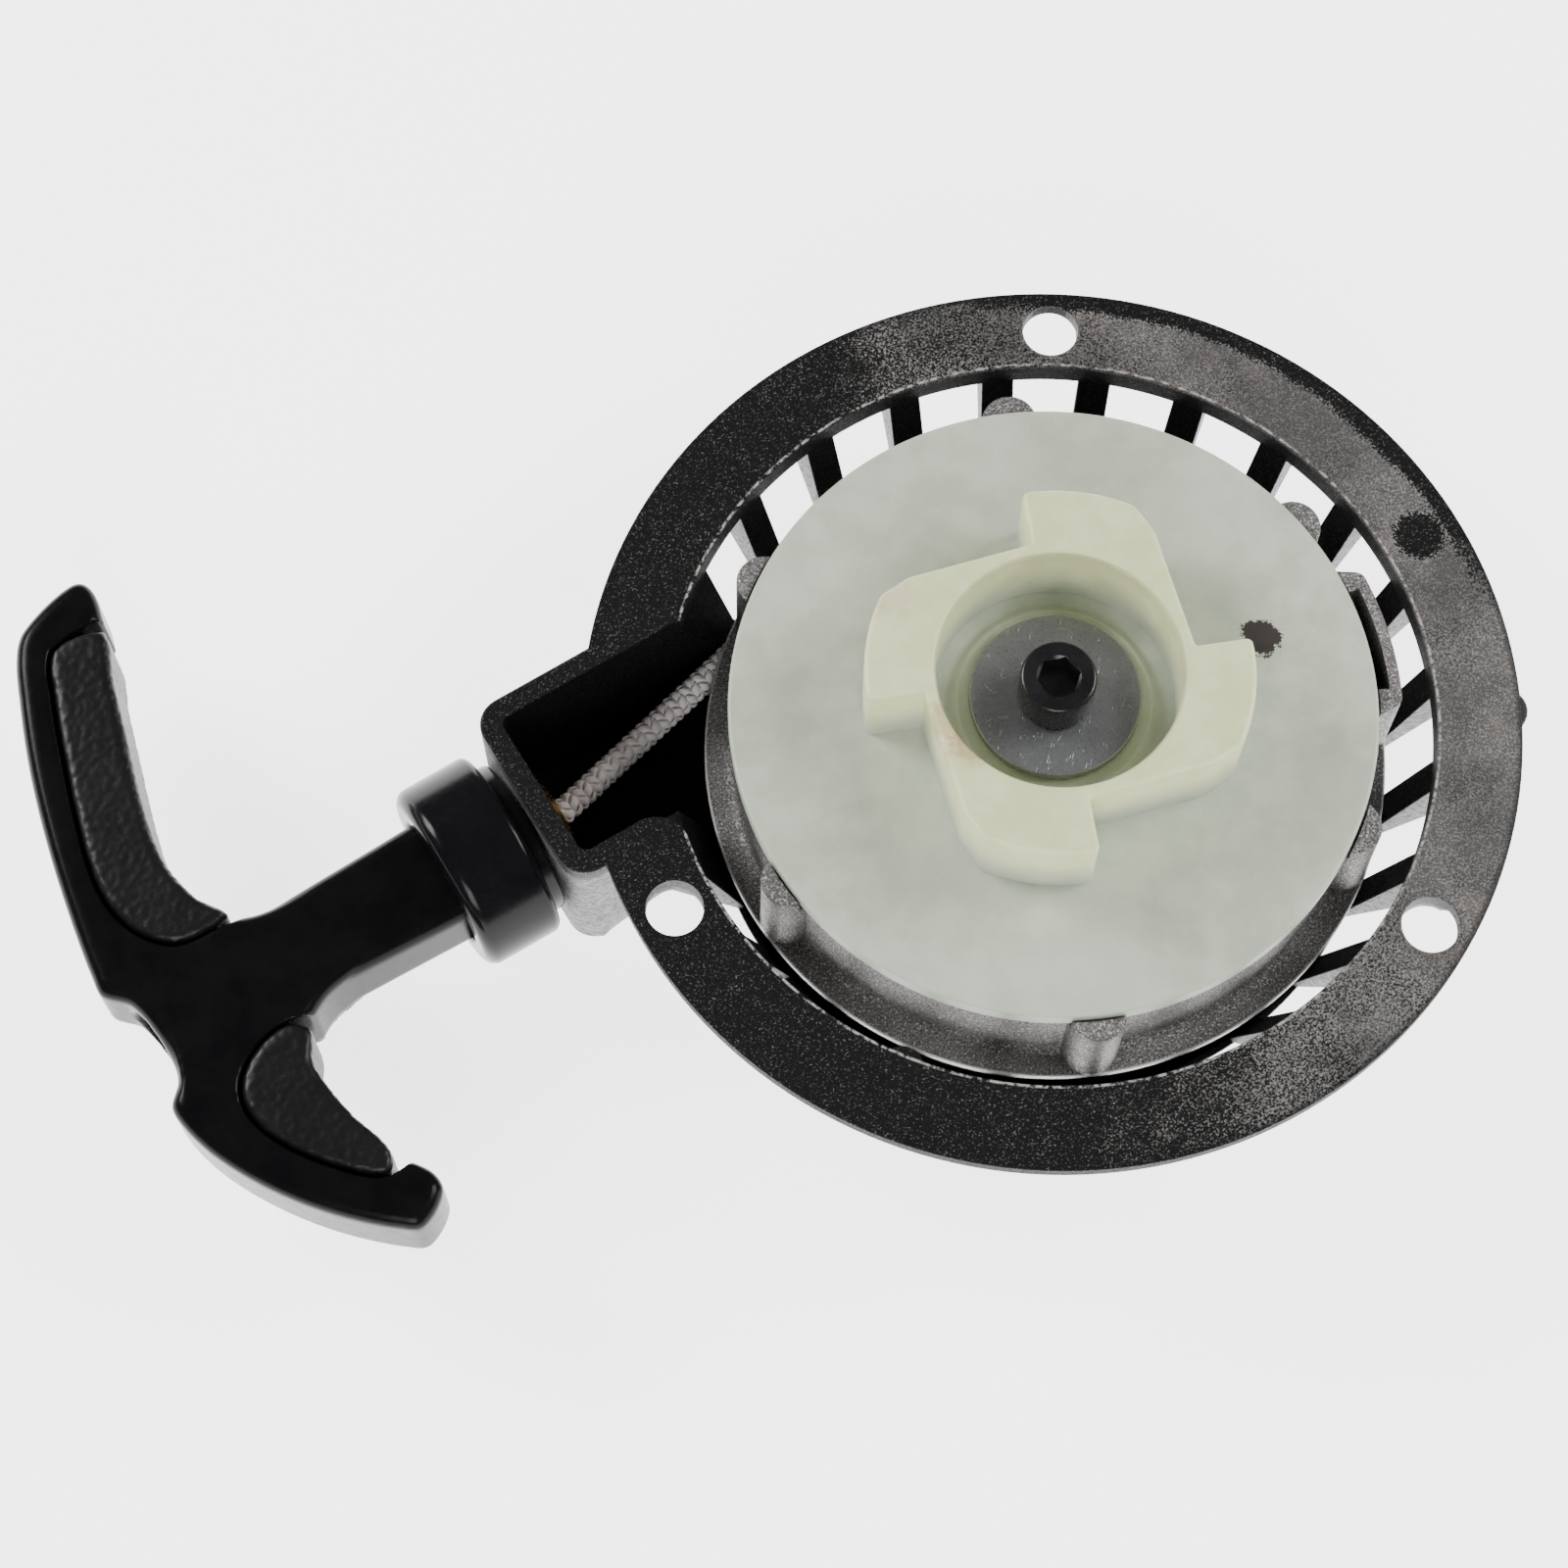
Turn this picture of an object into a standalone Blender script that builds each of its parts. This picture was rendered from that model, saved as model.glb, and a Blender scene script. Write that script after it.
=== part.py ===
"""Recoil starter of a small two-stroke engine: die-cast housing, rope reel, claw disc and T-handle.

The housing lies on its closed outer face (z = 0) with its open, engine side up. The reel turns about
the Z axis. The rope leaves the housing through a box on its rim, along PULL_ANGLE.
"""

from math import cos, pi, radians, sin, sqrt

import bmesh
import bpy
from mathutils import Matrix, Vector

GAP = 0.0003
ROUND_STEPS = 64
REEL_STEPS = 44
# How far a cutter or a joined shape reaches into or past its neighbour
OVERLAP = 0.0010
BEYOND = 0.010

# Housing casting
FLANGE_TOP = 0.032
FLANGE_OUTER_R = 0.0622
FLANGE_INNER_R = 0.0510
FLANGE_THICKNESS = 0.0024
LIP_HEIGHT = 0.0039
FLOOR_THICKNESS = 0.0025
EDGE_BREAK = 0.0006
CONE_FOOT_R = 0.0425
CONE_TOP_R = 0.0577
BOWL_FOOT_R = 0.0436
BOLT_CIRCLE_R = 0.05658
BOLT_HOLE_R = 0.0038
FIRST_BOLT_ANGLE = 89.2
BOLT_COUNT = 3

# Air slots between the ribs of the bowl
RIB_PITCH = 15.0
FIRST_RIB_ANGLE = 7.1
RIB_WIDTH = 0.0044
SLOT_REACH = (0.036, 0.060)
SLOT_BOTTOM = 0.0065
SLOT_TOP = 0.0279
SLOTLESS_FROM = 157.2
SLOTLESS_TO = 202.0

# Central post with the retaining screw
POST_R = 0.0079
POST_FILLET = 0.0020
POST_TOP = 0.0364
SCREW_BORE_R = 0.0032
SCREW_BORE_DEPTH = 0.020
WASHER_R = 0.01127
WASHER_THICKNESS = 0.0016
SCREW_HEAD_R = 0.0050
SCREW_HEAD_HEIGHT = 0.0062
SCREW_SHANK_R = 0.0029
SCREW_SHANK_LENGTH = 0.017
SCREW_SOCKET_FLATS = 0.0050
SCREW_SOCKET_DEPTH = 0.0030

# Rope line: the axis of eyelet, bumper, stem and rope outside the reel
PULL_ANGLE = 212.0
PULL_OFFSET = 0.0263
PULL_Z = 0.018
ROPE_R = 0.0019

# Rope box on the rim of the housing
BOX_HALF_WIDTH = 0.0138
BOX_FRONT = 0.0658
BOX_BOTTOM = 0.0042
BOX_WALL = 0.0029
BOX_CORNER_R = 0.0038
BOX_KEEL_R = 0.0095
BOX_START = 0.020
BOX_SPACE_START = 0.026

# Reel
REEL_FOOT = 0.0096
HUB_FOOT = 0.0050
REEL_WEB = 0.0166
GROOVE_LOW = 0.0112
GROOVE_HIGH = 0.0175
LEDGE_Z = 0.0186
LEDGE_R = 0.0462
LOWER_RIM_R = 0.0440
GROOVE_CORE_R = 0.0285
CUP_OUTER_R = 0.0420
CUP_INNER_R = 0.0385
CUP_TOP = 0.0313
CUP_FLOOR = 0.0190
REEL_BORE_R = 0.0083
REEL_HUB_R = 0.0120
REEL_HUB_TOP = 0.0262
GROOVE_WALL = 0.0020
CUP_CLEAR_R = 0.0200
LUG_ANGLES = (97.0, 39.0, -22.5, -83.0, -145.0, 155.0)
LUG_REACH = 0.0459
LUG_R = 0.0037
LUG_TOP = 0.0337
NOTCH_ANGLE = 13.5
NOTCH_HALF_SPAN = 12.0
NOTCH_SHOULDER = 3.5
NOTCH_REACH = 0.0463
HOOK_SLOT_HALF_SPAN = 9.5
HOOK_SLOT_REACH = 0.0447
ROPE_HOLE_R = 0.0024
ROPE_HOLE_Z = 0.0142

# Rope wound on the reel
TANGENT_R = 0.0416
TANGENT_ANGLE = 138.0
TANGENT_Z = 0.0134
WRAP_PITCH = 0.0041
WRAP_RISE = 0.0006
WRAP_TURNS = (TANGENT_R - GROOVE_CORE_R - ROPE_R - 0.0002) / WRAP_PITCH
KNOT_ANGLE = (TANGENT_ANGLE - 360 * WRAP_TURNS) % 360
KNOT_Z = 0.0130
REEL_KNOT_R = 0.0030
REEL_KNOT_LENGTH = 0.0062
HANDLE_KNOT_R = 0.0038
HANDLE_KNOT_LENGTH = 0.0056
KNOT_WASHER_R = 0.0046
KNOT_WASHER_BORE_R = 0.0020
KNOT_WASHER_THICKNESS = 0.0008

# Drive disc
DISC_R = 0.04285
DISC_TOP = 0.03495
DISC_THICKNESS = 0.0030
DISC_EDGE = 0.0004
DISC_HUB_R = 0.0135
DISC_HUB_FOOT = 0.0265
DISC_BORE_R = 0.0083
SEAT_R = 0.0128
SEAT_FOOT_R = 0.0140
CLAW_TOP = 0.0477
CLAW_BORE_R = 0.0160
CLAW_ROOT_R = 0.0178
CLAW_TIP_R = 0.0252
CLAW_COUNT = 4
CLAW_ANGLE = 10.5
CLAW_ARC = 34.0
SEAT_TOP = 0.0362

# Handle, given as distance along the rope line and offset to its side
STEM_START = 0.0772
STEM_PLACES = (STEM_START, 0.1120)
STEM_HALF_WIDTHS = (0.0078, 0.0063)
STEM_HALF_HEIGHTS = (0.0066, 0.0062)
STEM_CHAMFER = 0.0028
GRIP_HALF_HEIGHT = 0.0070
PAD_HALF_HEIGHT = 0.0075
PAD_SKIN = 0.0026
WEB_HALF_HEIGHT = 0.0040
WEB_PAST_PAD = 0.0060
WEB_BACK = 0.1220
HANDLE_BORE_R = 0.0022
KNOT_POCKET_R = 0.0050
KNOT_POCKET_START = 0.1140
KNOT_SEAT = KNOT_POCKET_START + KNOT_WASHER_THICKNESS + 2 * GAP
GRIP_OUTLINE = (
    (0.0940, 0.0071), (0.0995, 0.0074), (0.1036, 0.0097), (0.1061, 0.0138), (0.1062, 0.0180),
    (0.1051, 0.0245), (0.1029, 0.0313), (0.1002, 0.0352), (0.1001, 0.0382), (0.1049, 0.0412),
    (0.1071, 0.0400), (0.1137, 0.0338), (0.1194, 0.0262), (0.1235, 0.0181), (0.1249, 0.0122),
    (0.1247, 0.0101), (0.1226, 0.0080), (0.1218, 0.0052), (0.1219, 0.0004), (0.1230, -0.0050),
    (0.1255, -0.0076), (0.1255, -0.0098), (0.1229, -0.0256), (0.1193, -0.0399), (0.1155, -0.0505),
    (0.1128, -0.0565), (0.1105, -0.0590), (0.1018, -0.0617), (0.1001, -0.0611), (0.0995, -0.0590),
    (0.1003, -0.0551), (0.1030, -0.0467), (0.1054, -0.0383), (0.1085, -0.0273), (0.1097, -0.0190),
    (0.1083, -0.0123), (0.1053, -0.0080), (0.1007, -0.0065), (0.0940, -0.0066),
)
# Each pad: its free edge on the finger side, then its back edge within the grip
LONG_PAD_EDGE = (
    (0.1011, -0.0528), (0.1030, -0.0467), (0.1054, -0.0383), (0.1085, -0.0273), (0.1097, -0.0190),
    (0.1083, -0.0123), (0.1060, -0.0085),
)
LONG_PAD_BACK = (
    (0.1090, -0.0080), (0.1140, -0.0087), (0.1178, -0.0135), (0.1189, -0.0200), (0.1172, -0.0290),
    (0.1144, -0.0385), (0.1110, -0.0485), (0.1083, -0.0538),
)
SHORT_PAD_EDGE = (
    (0.1043, 0.0110), (0.1061, 0.0145), (0.1062, 0.0180), (0.1051, 0.0245), (0.1034, 0.0305),
)
SHORT_PAD_BACK = (
    (0.1050, 0.0330), (0.1100, 0.0290), (0.1152, 0.0215), (0.1166, 0.0160), (0.1150, 0.0120),
    (0.1105, 0.0092), (0.1065, 0.0088),
)

# Rubber bumper between housing and handle
BUMPER_START = 0.0662
BUMPER_COLLAR_END = 0.0682
BUMPER_END = 0.0794
BUMPER_R = 0.0133
BUMPER_COLLAR_R = 0.0108
BUMPER_BORE_R = 0.0024
BUMPER_DISH_R = 0.0102
BUMPER_DISH_START = 0.0768
BUMPER_FILLET_R = 0.0038
BUMPER_FOOT_R = 0.0015
BUMPER_MOUTH_R = 0.0050
BUMPER_MOUTH_DEPTH = 0.0014

# Brass eyelet in the front wall of the rope box
EYELET_FLANGE_R = 0.0062
EYELET_TUBE_R = 0.0034
EYELET_BORE_R = 0.0022
EYELET_START = 0.0610
EYELET_END = 0.0660
EYELET_HOLE_R = 0.0037
EYELET_RIM = 0.0007

# Flat spiral springs
RECOIL_SPRING_LOW = 0.0031
RECOIL_SPRING_HIGH = 0.0086
RECOIL_WALL_INNER_R = 0.0345
RECOIL_WALL_OUTER_R = 0.0362
RECOIL_WALL_TOP = 0.0090
RECOIL_THICKNESS = 0.0006
RECOIL_PITCH = 0.0012
RECOIL_PACKED_TURNS = 6.0
RECOIL_TURNS = 9.0
RECOIL_REACH_IN = 0.0098
ASSIST_SPRING_LOW = 0.0198
ASSIST_SPRING_HIGH = 0.0300
ASSIST_THICKNESS = 0.0009
ASSIST_PITCH = 0.0042
ASSIST_TURNS = 4.75

PULL = Vector((cos(radians(PULL_ANGLE)), sin(radians(PULL_ANGLE)), 0))
SIDE = Vector((-sin(radians(PULL_ANGLE)), cos(radians(PULL_ANGLE)), 0))
LINE_START = Vector((0, 0, PULL_Z)) - PULL_OFFSET * SIDE
# Local X runs along the rope line, local Y to its side and local Z up
LINE_FRAME = Matrix.Translation(LINE_START) @ Matrix.Rotation(radians(PULL_ANGLE), 4, "Z")
# Local Z runs along the rope line, for pieces turned about it
TURN_FRAME = LINE_FRAME @ Matrix.Rotation(pi / 2, 4, "Y")

MATERIALS = {
    "housing_black": ((0.035, 0.035, 0.037, 1), 0.55, 0.6),
    "cast_aluminium": ((0.42, 0.41, 0.40, 1), 0.5, 0.9),
    "white_nylon": ((0.62, 0.65, 0.56, 1), 0.4, 0.0),
    "washer_steel": ((0.42, 0.43, 0.46, 1), 0.35, 1.0),
    "black_oxide": ((0.02, 0.02, 0.02, 1), 0.3, 0.8),
    "brass": ((0.60, 0.38, 0.14, 1), 0.3, 1.0),
    "spring_steel": ((0.30, 0.31, 0.33, 1), 0.35, 1.0),
    "rope_braid": ((0.55, 0.52, 0.50, 1), 0.8, 0.0),
    "handle_plastic": ((0.012, 0.012, 0.013, 1), 0.25, 0.0),
    "pad_rubber": ((0.015, 0.015, 0.016, 1), 0.6, 0.0),
    "bumper_rubber": ((0.012, 0.012, 0.014, 1), 0.3, 0.0),
}

parts = None
cutters = None


# Scene, materials and collections


def clear_scene():
    for obj in list(bpy.data.objects):
        bpy.data.objects.remove(obj, do_unlink=True)


def make_collection(name):
    collection = bpy.data.collections.new(name)
    bpy.context.scene.collection.children.link(collection)
    return collection


def make_material(name):
    colour, roughness, metallic = MATERIALS[name]
    material = bpy.data.materials.new(name)
    material.diffuse_color = colour
    material.use_nodes = True
    shader = material.node_tree.nodes["Principled BSDF"]
    shader.inputs["Base Color"].default_value = colour
    shader.inputs["Roughness"].default_value = roughness
    shader.inputs["Metallic"].default_value = metallic
    return material


def add_mesh(name, bm):
    mesh = bpy.data.meshes.new(name)
    bm.to_mesh(mesh)
    bm.free()
    obj = bpy.data.objects.new(name, mesh)
    cutters.objects.link(obj)
    obj.hide_render = True
    obj.display_type = "WIRE"
    return obj


def finish_part(obj, material, parent=None, smooth_angle=40.0):
    """Moves a shape from the cutters to the parts and gives it its material."""
    cutters.objects.unlink(obj)
    parts.objects.link(obj)
    obj.hide_render = False
    obj.display_type = "TEXTURED"
    obj.data.materials.clear()
    obj.data.materials.append(bpy.data.materials.get(material) or make_material(material))
    obj.data.shade_smooth()
    obj.data.set_sharp_from_angle(angle=radians(smooth_angle))
    if parent:
        obj.parent = parent
        obj.matrix_parent_inverse = parent.matrix_world.inverted()
    return obj


def add_pivot(name, location, rotation_z=0.0):
    pivot = bpy.data.objects.new(name, None)
    pivot.location = location
    pivot.rotation_euler = (0, 0, rotation_z)
    pivot.empty_display_size = 0.01
    parts.objects.link(pivot)
    bpy.context.view_layer.update()
    return pivot


# Shape tools


def boolean(obj, tool, operation):
    modifier = obj.modifiers.new(f"{operation.lower()}_{tool.name}", "BOOLEAN")
    modifier.operation = operation
    modifier.object = tool
    modifier.solver = "EXACT"
    return obj


def cut(obj, *tools):
    for tool in tools:
        boolean(obj, tool, "DIFFERENCE")
    return obj


def join(obj, *tools):
    for tool in tools:
        boolean(obj, tool, "UNION")
    return obj


def turned(name, profile, steps, frame=None):
    """A solid turned about the Z axis of its frame from a closed profile of (radius, height) points.

    The points run down the outer side and back up the inner side.
    """
    bm = bmesh.new()
    verts = [bm.verts.new((radius, 0, height)) for radius, height in profile]
    for i, vert in enumerate(verts):
        following = verts[(i + 1) % len(verts)]
        if vert.co.x > 0 or following.co.x > 0:
            bm.edges.new((vert, following))
    obj = add_mesh(name, bm)
    screw = obj.modifiers.new("turn", "SCREW")
    screw.axis = "Z"
    screw.angle = 2 * pi
    screw.steps = steps
    screw.render_steps = steps
    screw.use_merge_vertices = True
    screw.merge_threshold = 0.00001
    if frame:
        obj.matrix_world = frame
    return obj


def extruded(name, outline, low, high, frame=None):
    """A prism from a closed 2D outline, between two heights of its frame."""
    curve = bpy.data.curves.new(name, "CURVE")
    curve.dimensions = "2D"
    curve.fill_mode = "BOTH"
    curve.extrude = (high - low) / 2
    spline = curve.splines.new("POLY")
    spline.points.add(len(outline) - 1)
    for point, (x, y) in zip(spline.points, outline):
        point.co = (x, y, 0, 1)
    spline.use_cyclic_u = True
    flat = bpy.data.objects.new(name, curve)
    bpy.context.scene.collection.objects.link(flat)
    bpy.context.view_layer.update()
    evaluated = flat.evaluated_get(bpy.context.evaluated_depsgraph_get())
    mesh = bpy.data.meshes.new_from_object(evaluated)
    bpy.data.objects.remove(flat)
    bm = bmesh.new()
    bm.from_mesh(mesh)
    bpy.data.meshes.remove(mesh)
    bmesh.ops.remove_doubles(bm, verts=bm.verts, dist=0.000001)
    bmesh.ops.dissolve_limit(bm, angle_limit=radians(0.5), verts=bm.verts, edges=bm.edges)
    bmesh.ops.translate(bm, verts=bm.verts, vec=(0, 0, (low + high) / 2))
    bmesh.ops.recalc_face_normals(bm, faces=bm.faces)
    obj = add_mesh(name, bm)
    if frame:
        obj.matrix_world = frame
    return obj


def tube(name, points, radius, sides_level=2):
    """A round bar along a list of points, as a curve with a bevel and filled caps."""
    curve = bpy.data.curves.new(name, "CURVE")
    curve.dimensions = "3D"
    curve.bevel_depth = radius
    curve.bevel_resolution = sides_level
    curve.use_fill_caps = True
    spline = curve.splines.new("POLY")
    spline.points.add(len(points) - 1)
    for point, place in zip(spline.points, points):
        point.co = (*place, 1)
    obj = bpy.data.objects.new(name, curve)
    parts.objects.link(obj)
    return obj


def finish_tube(obj, material, parent=None):
    obj.data.materials.append(bpy.data.materials.get(material) or make_material(material))
    if parent:
        obj.parent = parent
        obj.matrix_parent_inverse = parent.matrix_world.inverted()
    return obj


def cylinder(name, radius, low, high, sides, frame=None):
    bm = bmesh.new()
    bmesh.ops.create_cone(
        bm, cap_ends=True, segments=sides, radius1=radius, radius2=radius, depth=high - low
    )
    bmesh.ops.translate(bm, verts=bm.verts, vec=(0, 0, (low + high) / 2))
    obj = add_mesh(name, bm)
    if frame:
        obj.matrix_world = frame
    return obj


def block(name, low, high, frame=None, rounding=()):
    """A box between two corners. Each rounding is (test of an edge's two ends, radius, segments)."""
    bm = bmesh.new()
    bmesh.ops.create_cube(bm, size=1)
    size = Vector(high) - Vector(low)
    centre = (Vector(high) + Vector(low)) / 2
    bmesh.ops.scale(bm, vec=size, verts=bm.verts)
    bmesh.ops.translate(bm, vec=centre, verts=bm.verts)
    for picks, radius, segments in rounding:
        chosen = [edge for edge in bm.edges if picks(*(vert.co for vert in edge.verts))]
        bmesh.ops.bevel(
            bm, geom=chosen, offset=radius, segments=segments, profile=0.5, affect="EDGES"
        )
    obj = add_mesh(name, bm)
    if frame:
        obj.matrix_world = frame
    return obj


def polar(radius, angle):
    return radius * cos(radians(angle)), radius * sin(radians(angle))


def smooth_outline(points, per_span):
    """Points on a closed centripetal Catmull-Rom curve through the given ones."""
    found = []
    count = len(points)
    for i in range(count):
        knots = [Vector(points[(i + j) % count]) for j in (-1, 0, 1, 2)]
        times = [0.0]
        for a, b in zip(knots, knots[1:]):
            times.append(times[-1] + sqrt((b - a).length))
        for step in range(per_span):
            t = times[1] + (times[2] - times[1]) * step / per_span
            level = list(knots)
            for depth in (1, 2, 3):
                level = [
                    level[j] * ((times[j + depth] - t) / (times[j + depth] - times[j]))
                    + level[j + 1] * ((t - times[j]) / (times[j + depth] - times[j]))
                    for j in range(4 - depth)
                ]
            found.append(tuple(level[0]))
    return found


def offset_outline(points, distance):
    """The closed outline moved outward by a distance (inward where it is negative)."""
    area = sum(a[0] * b[1] - b[0] * a[1] for a, b in zip(points, points[1:] + points[:1]))
    turn = 1 if area > 0 else -1
    moved = []
    for i, point in enumerate(points):
        before = Vector(points[i - 1])
        after = Vector(points[(i + 1) % len(points)])
        here = Vector(point)
        first = (here - before).normalized()
        second = (after - here).normalized()
        normal_a = Vector((first.y, -first.x)) * turn
        normal_b = Vector((second.y, -second.x)) * turn
        middle = (normal_a + normal_b).normalized()
        reach = distance / max(0.5, middle.dot(normal_a))
        moved.append(tuple(here + middle * reach))
    return moved


# Housing


def bowl_inner_radius(height):
    """Inner face of the ribs: it leans inwards from the lip to the floor."""
    top = FLANGE_TOP - LIP_HEIGHT
    return BOWL_FOOT_R + (FLANGE_INNER_R - BOWL_FOOT_R) * (height - FLOOR_THICKNESS) / (
        top - FLOOR_THICKNESS
    )


def slot_outline(angle):
    """A wedge between two ribs of even width, seen from above."""
    outline = []
    for turn, radii in ((-1, SLOT_REACH), (1, SLOT_REACH[::-1])):
        rib = angle + turn * RIB_PITCH / 2
        along = Vector(polar(1, rib))
        across = Vector(polar(1, rib - turn * 90)) * (RIB_WIDTH / 2)
        outline += [tuple(along * radius + across) for radius in radii]
    return outline


def housing_shell():
    """The turned part of the casting: flange, lip, slanted wall and floor."""
    under = FLANGE_TOP - FLANGE_THICKNESS
    bowl_fillet = 0.0020
    profile = (
        (FLANGE_INNER_R + EDGE_BREAK, FLANGE_TOP),
        (FLANGE_OUTER_R - EDGE_BREAK, FLANGE_TOP),
        (FLANGE_OUTER_R, FLANGE_TOP - EDGE_BREAK),
        (FLANGE_OUTER_R, under),
        (CONE_TOP_R, under),
        (CONE_FOOT_R + 0.0012, 0.0024),
        (CONE_FOOT_R - 0.0002, 0.0006),
        (CONE_FOOT_R - 0.0016, 0),
        (0, 0),
        (0, FLOOR_THICKNESS),
        (BOWL_FOOT_R - bowl_fillet, FLOOR_THICKNESS),
        (bowl_inner_radius(FLOOR_THICKNESS + bowl_fillet), FLOOR_THICKNESS + bowl_fillet),
        (FLANGE_INNER_R, FLANGE_TOP - LIP_HEIGHT),
        (FLANGE_INNER_R, FLANGE_TOP - EDGE_BREAK),
    )
    return turned("housing", profile, ROUND_STEPS)


def keel_edges(bottom):
    """A test for the edges that run along the underside of the rope box."""

    def picks(a, b):
        return max(a.z, b.z) < bottom + GAP and abs(a.x - b.x) > BOX_WALL

    return picks


def rope_box_body():
    """The outer form of the rope box: rounded in plan at its front corners and along its keel."""
    bottom = BOX_BOTTOM - PULL_Z

    def front_corners(a, b):
        return abs(a.z - b.z) > BOX_WALL and a.x > BOX_FRONT - GAP

    return block(
        "box_body",
        (BOX_START, -BOX_HALF_WIDTH, bottom),
        (BOX_FRONT, BOX_HALF_WIDTH, FLANGE_TOP - PULL_Z),
        LINE_FRAME,
        ((front_corners, BOX_CORNER_R, 4), (keel_edges(bottom), BOX_KEEL_R, 5)),
    )


def bowl_space():
    """The inside of the bowl and a little of its wall, which the box's own solid must leave free."""
    radius = FLANGE_INNER_R + EDGE_BREAK + 0.0001
    profile = (
        (radius, FLANGE_TOP + BEYOND),
        (radius, FLANGE_TOP - LIP_HEIGHT),
        (BOWL_FOOT_R, FLOOR_THICKNESS - OVERLAP),
        (0, FLOOR_THICKNESS - OVERLAP),
        (0, FLANGE_TOP + BEYOND),
    )
    return turned("bowl_space", profile, ROUND_STEPS)


def box_space():
    """The hollow of the rope box, open to the bowl and at the top."""
    bottom = BOX_BOTTOM + BOX_WALL - PULL_Z
    return block(
        "box_space",
        (BOX_SPACE_START, -BOX_HALF_WIDTH + BOX_WALL, bottom),
        (BOX_FRONT - BOX_WALL, BOX_HALF_WIDTH - BOX_WALL, FLANGE_TOP - PULL_Z + BEYOND),
        LINE_FRAME,
        ((keel_edges(bottom), BOX_KEEL_R - BOX_WALL, 4),),
    )


def post_and_spring_wall():
    """The post that carries the reel, and the ring that holds the recoil spring."""
    foot = FLOOR_THICKNESS - OVERLAP
    post_profile = (
        (POST_R - EDGE_BREAK, POST_TOP),
        (POST_R, POST_TOP - EDGE_BREAK),
        (POST_R, FLOOR_THICKNESS + POST_FILLET),
        (POST_R + POST_FILLET, FLOOR_THICKNESS),
        (POST_R + POST_FILLET, foot),
        (0, foot),
        (0, POST_TOP),
    )
    wall_profile = (
        (RECOIL_WALL_OUTER_R, RECOIL_WALL_TOP),
        (RECOIL_WALL_OUTER_R, foot),
        (RECOIL_WALL_INNER_R, foot),
        (RECOIL_WALL_INNER_R, RECOIL_WALL_TOP),
    )
    return turned("post", post_profile, 24), turned("spring_wall", wall_profile, 48)


def slot_angles():
    """The middle of each air slot. The wall stays closed behind the rope box."""
    angles = [FIRST_RIB_ANGLE + RIB_PITCH * (k + 0.5) for k in range(int(360 / RIB_PITCH))]
    return [angle for angle in angles if not SLOTLESS_FROM < angle < SLOTLESS_TO]


def build_housing():
    housing = housing_shell()
    join(housing, cut(rope_box_body(), bowl_space()))
    cut(housing, box_space())
    join(housing, *post_and_spring_wall())
    for number, angle in enumerate(slot_angles()):
        cut(housing, extruded(f"slot_{number}", slot_outline(angle), SLOT_BOTTOM, SLOT_TOP))
    for number in range(BOLT_COUNT):
        x, y = polar(BOLT_CIRCLE_R, FIRST_BOLT_ANGLE - number * 360 / BOLT_COUNT)
        low, high = FLANGE_TOP - 0.012, FLANGE_TOP + BEYOND
        place = Matrix.Translation((x, y, 0))
        cut(housing, cylinder(f"bolt_hole_{number}", BOLT_HOLE_R, low, high, 20, place))
    bore_bottom = POST_TOP - SCREW_BORE_DEPTH
    screw_bore = cylinder("screw_bore", SCREW_BORE_R, bore_bottom, POST_TOP + BEYOND, 16)
    low, high = BOX_FRONT - 2 * BOX_WALL, BOX_FRONT + 2 * BOX_WALL
    eyelet_hole = cylinder("eyelet_hole", EYELET_HOLE_R, low, high, 20, TURN_FRAME)
    cut(housing, screw_bore, eyelet_hole)
    finish_part(housing, "housing_black", smooth_angle=30)


# Pieces held by the post


def build_washer():
    low = POST_TOP + GAP
    profile = (
        (WASHER_R, low + WASHER_THICKNESS),
        (WASHER_R, low),
        (SCREW_BORE_R, low),
        (SCREW_BORE_R, low + WASHER_THICKNESS),
    )
    finish_part(turned("retaining_washer", profile, 32), "washer_steel")


def build_screw():
    """Hexagon socket cap screw."""
    seat = POST_TOP + GAP + WASHER_THICKNESS + GAP
    top = seat + SCREW_HEAD_HEIGHT
    profile = (
        (0, top),
        (SCREW_HEAD_R - EDGE_BREAK, top),
        (SCREW_HEAD_R, top - EDGE_BREAK),
        (SCREW_HEAD_R, seat),
        (SCREW_SHANK_R, seat),
        (SCREW_SHANK_R, seat - SCREW_SHANK_LENGTH),
        (0, seat - SCREW_SHANK_LENGTH),
    )
    screw = turned("centre_screw", profile, 24)
    corner_r = SCREW_SOCKET_FLATS / 2 / cos(pi / 6)
    cut(screw, cylinder("hex_socket", corner_r, top - SCREW_SOCKET_DEPTH, top + BEYOND, 6))
    finish_part(screw, "black_oxide")


# Reel


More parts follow.
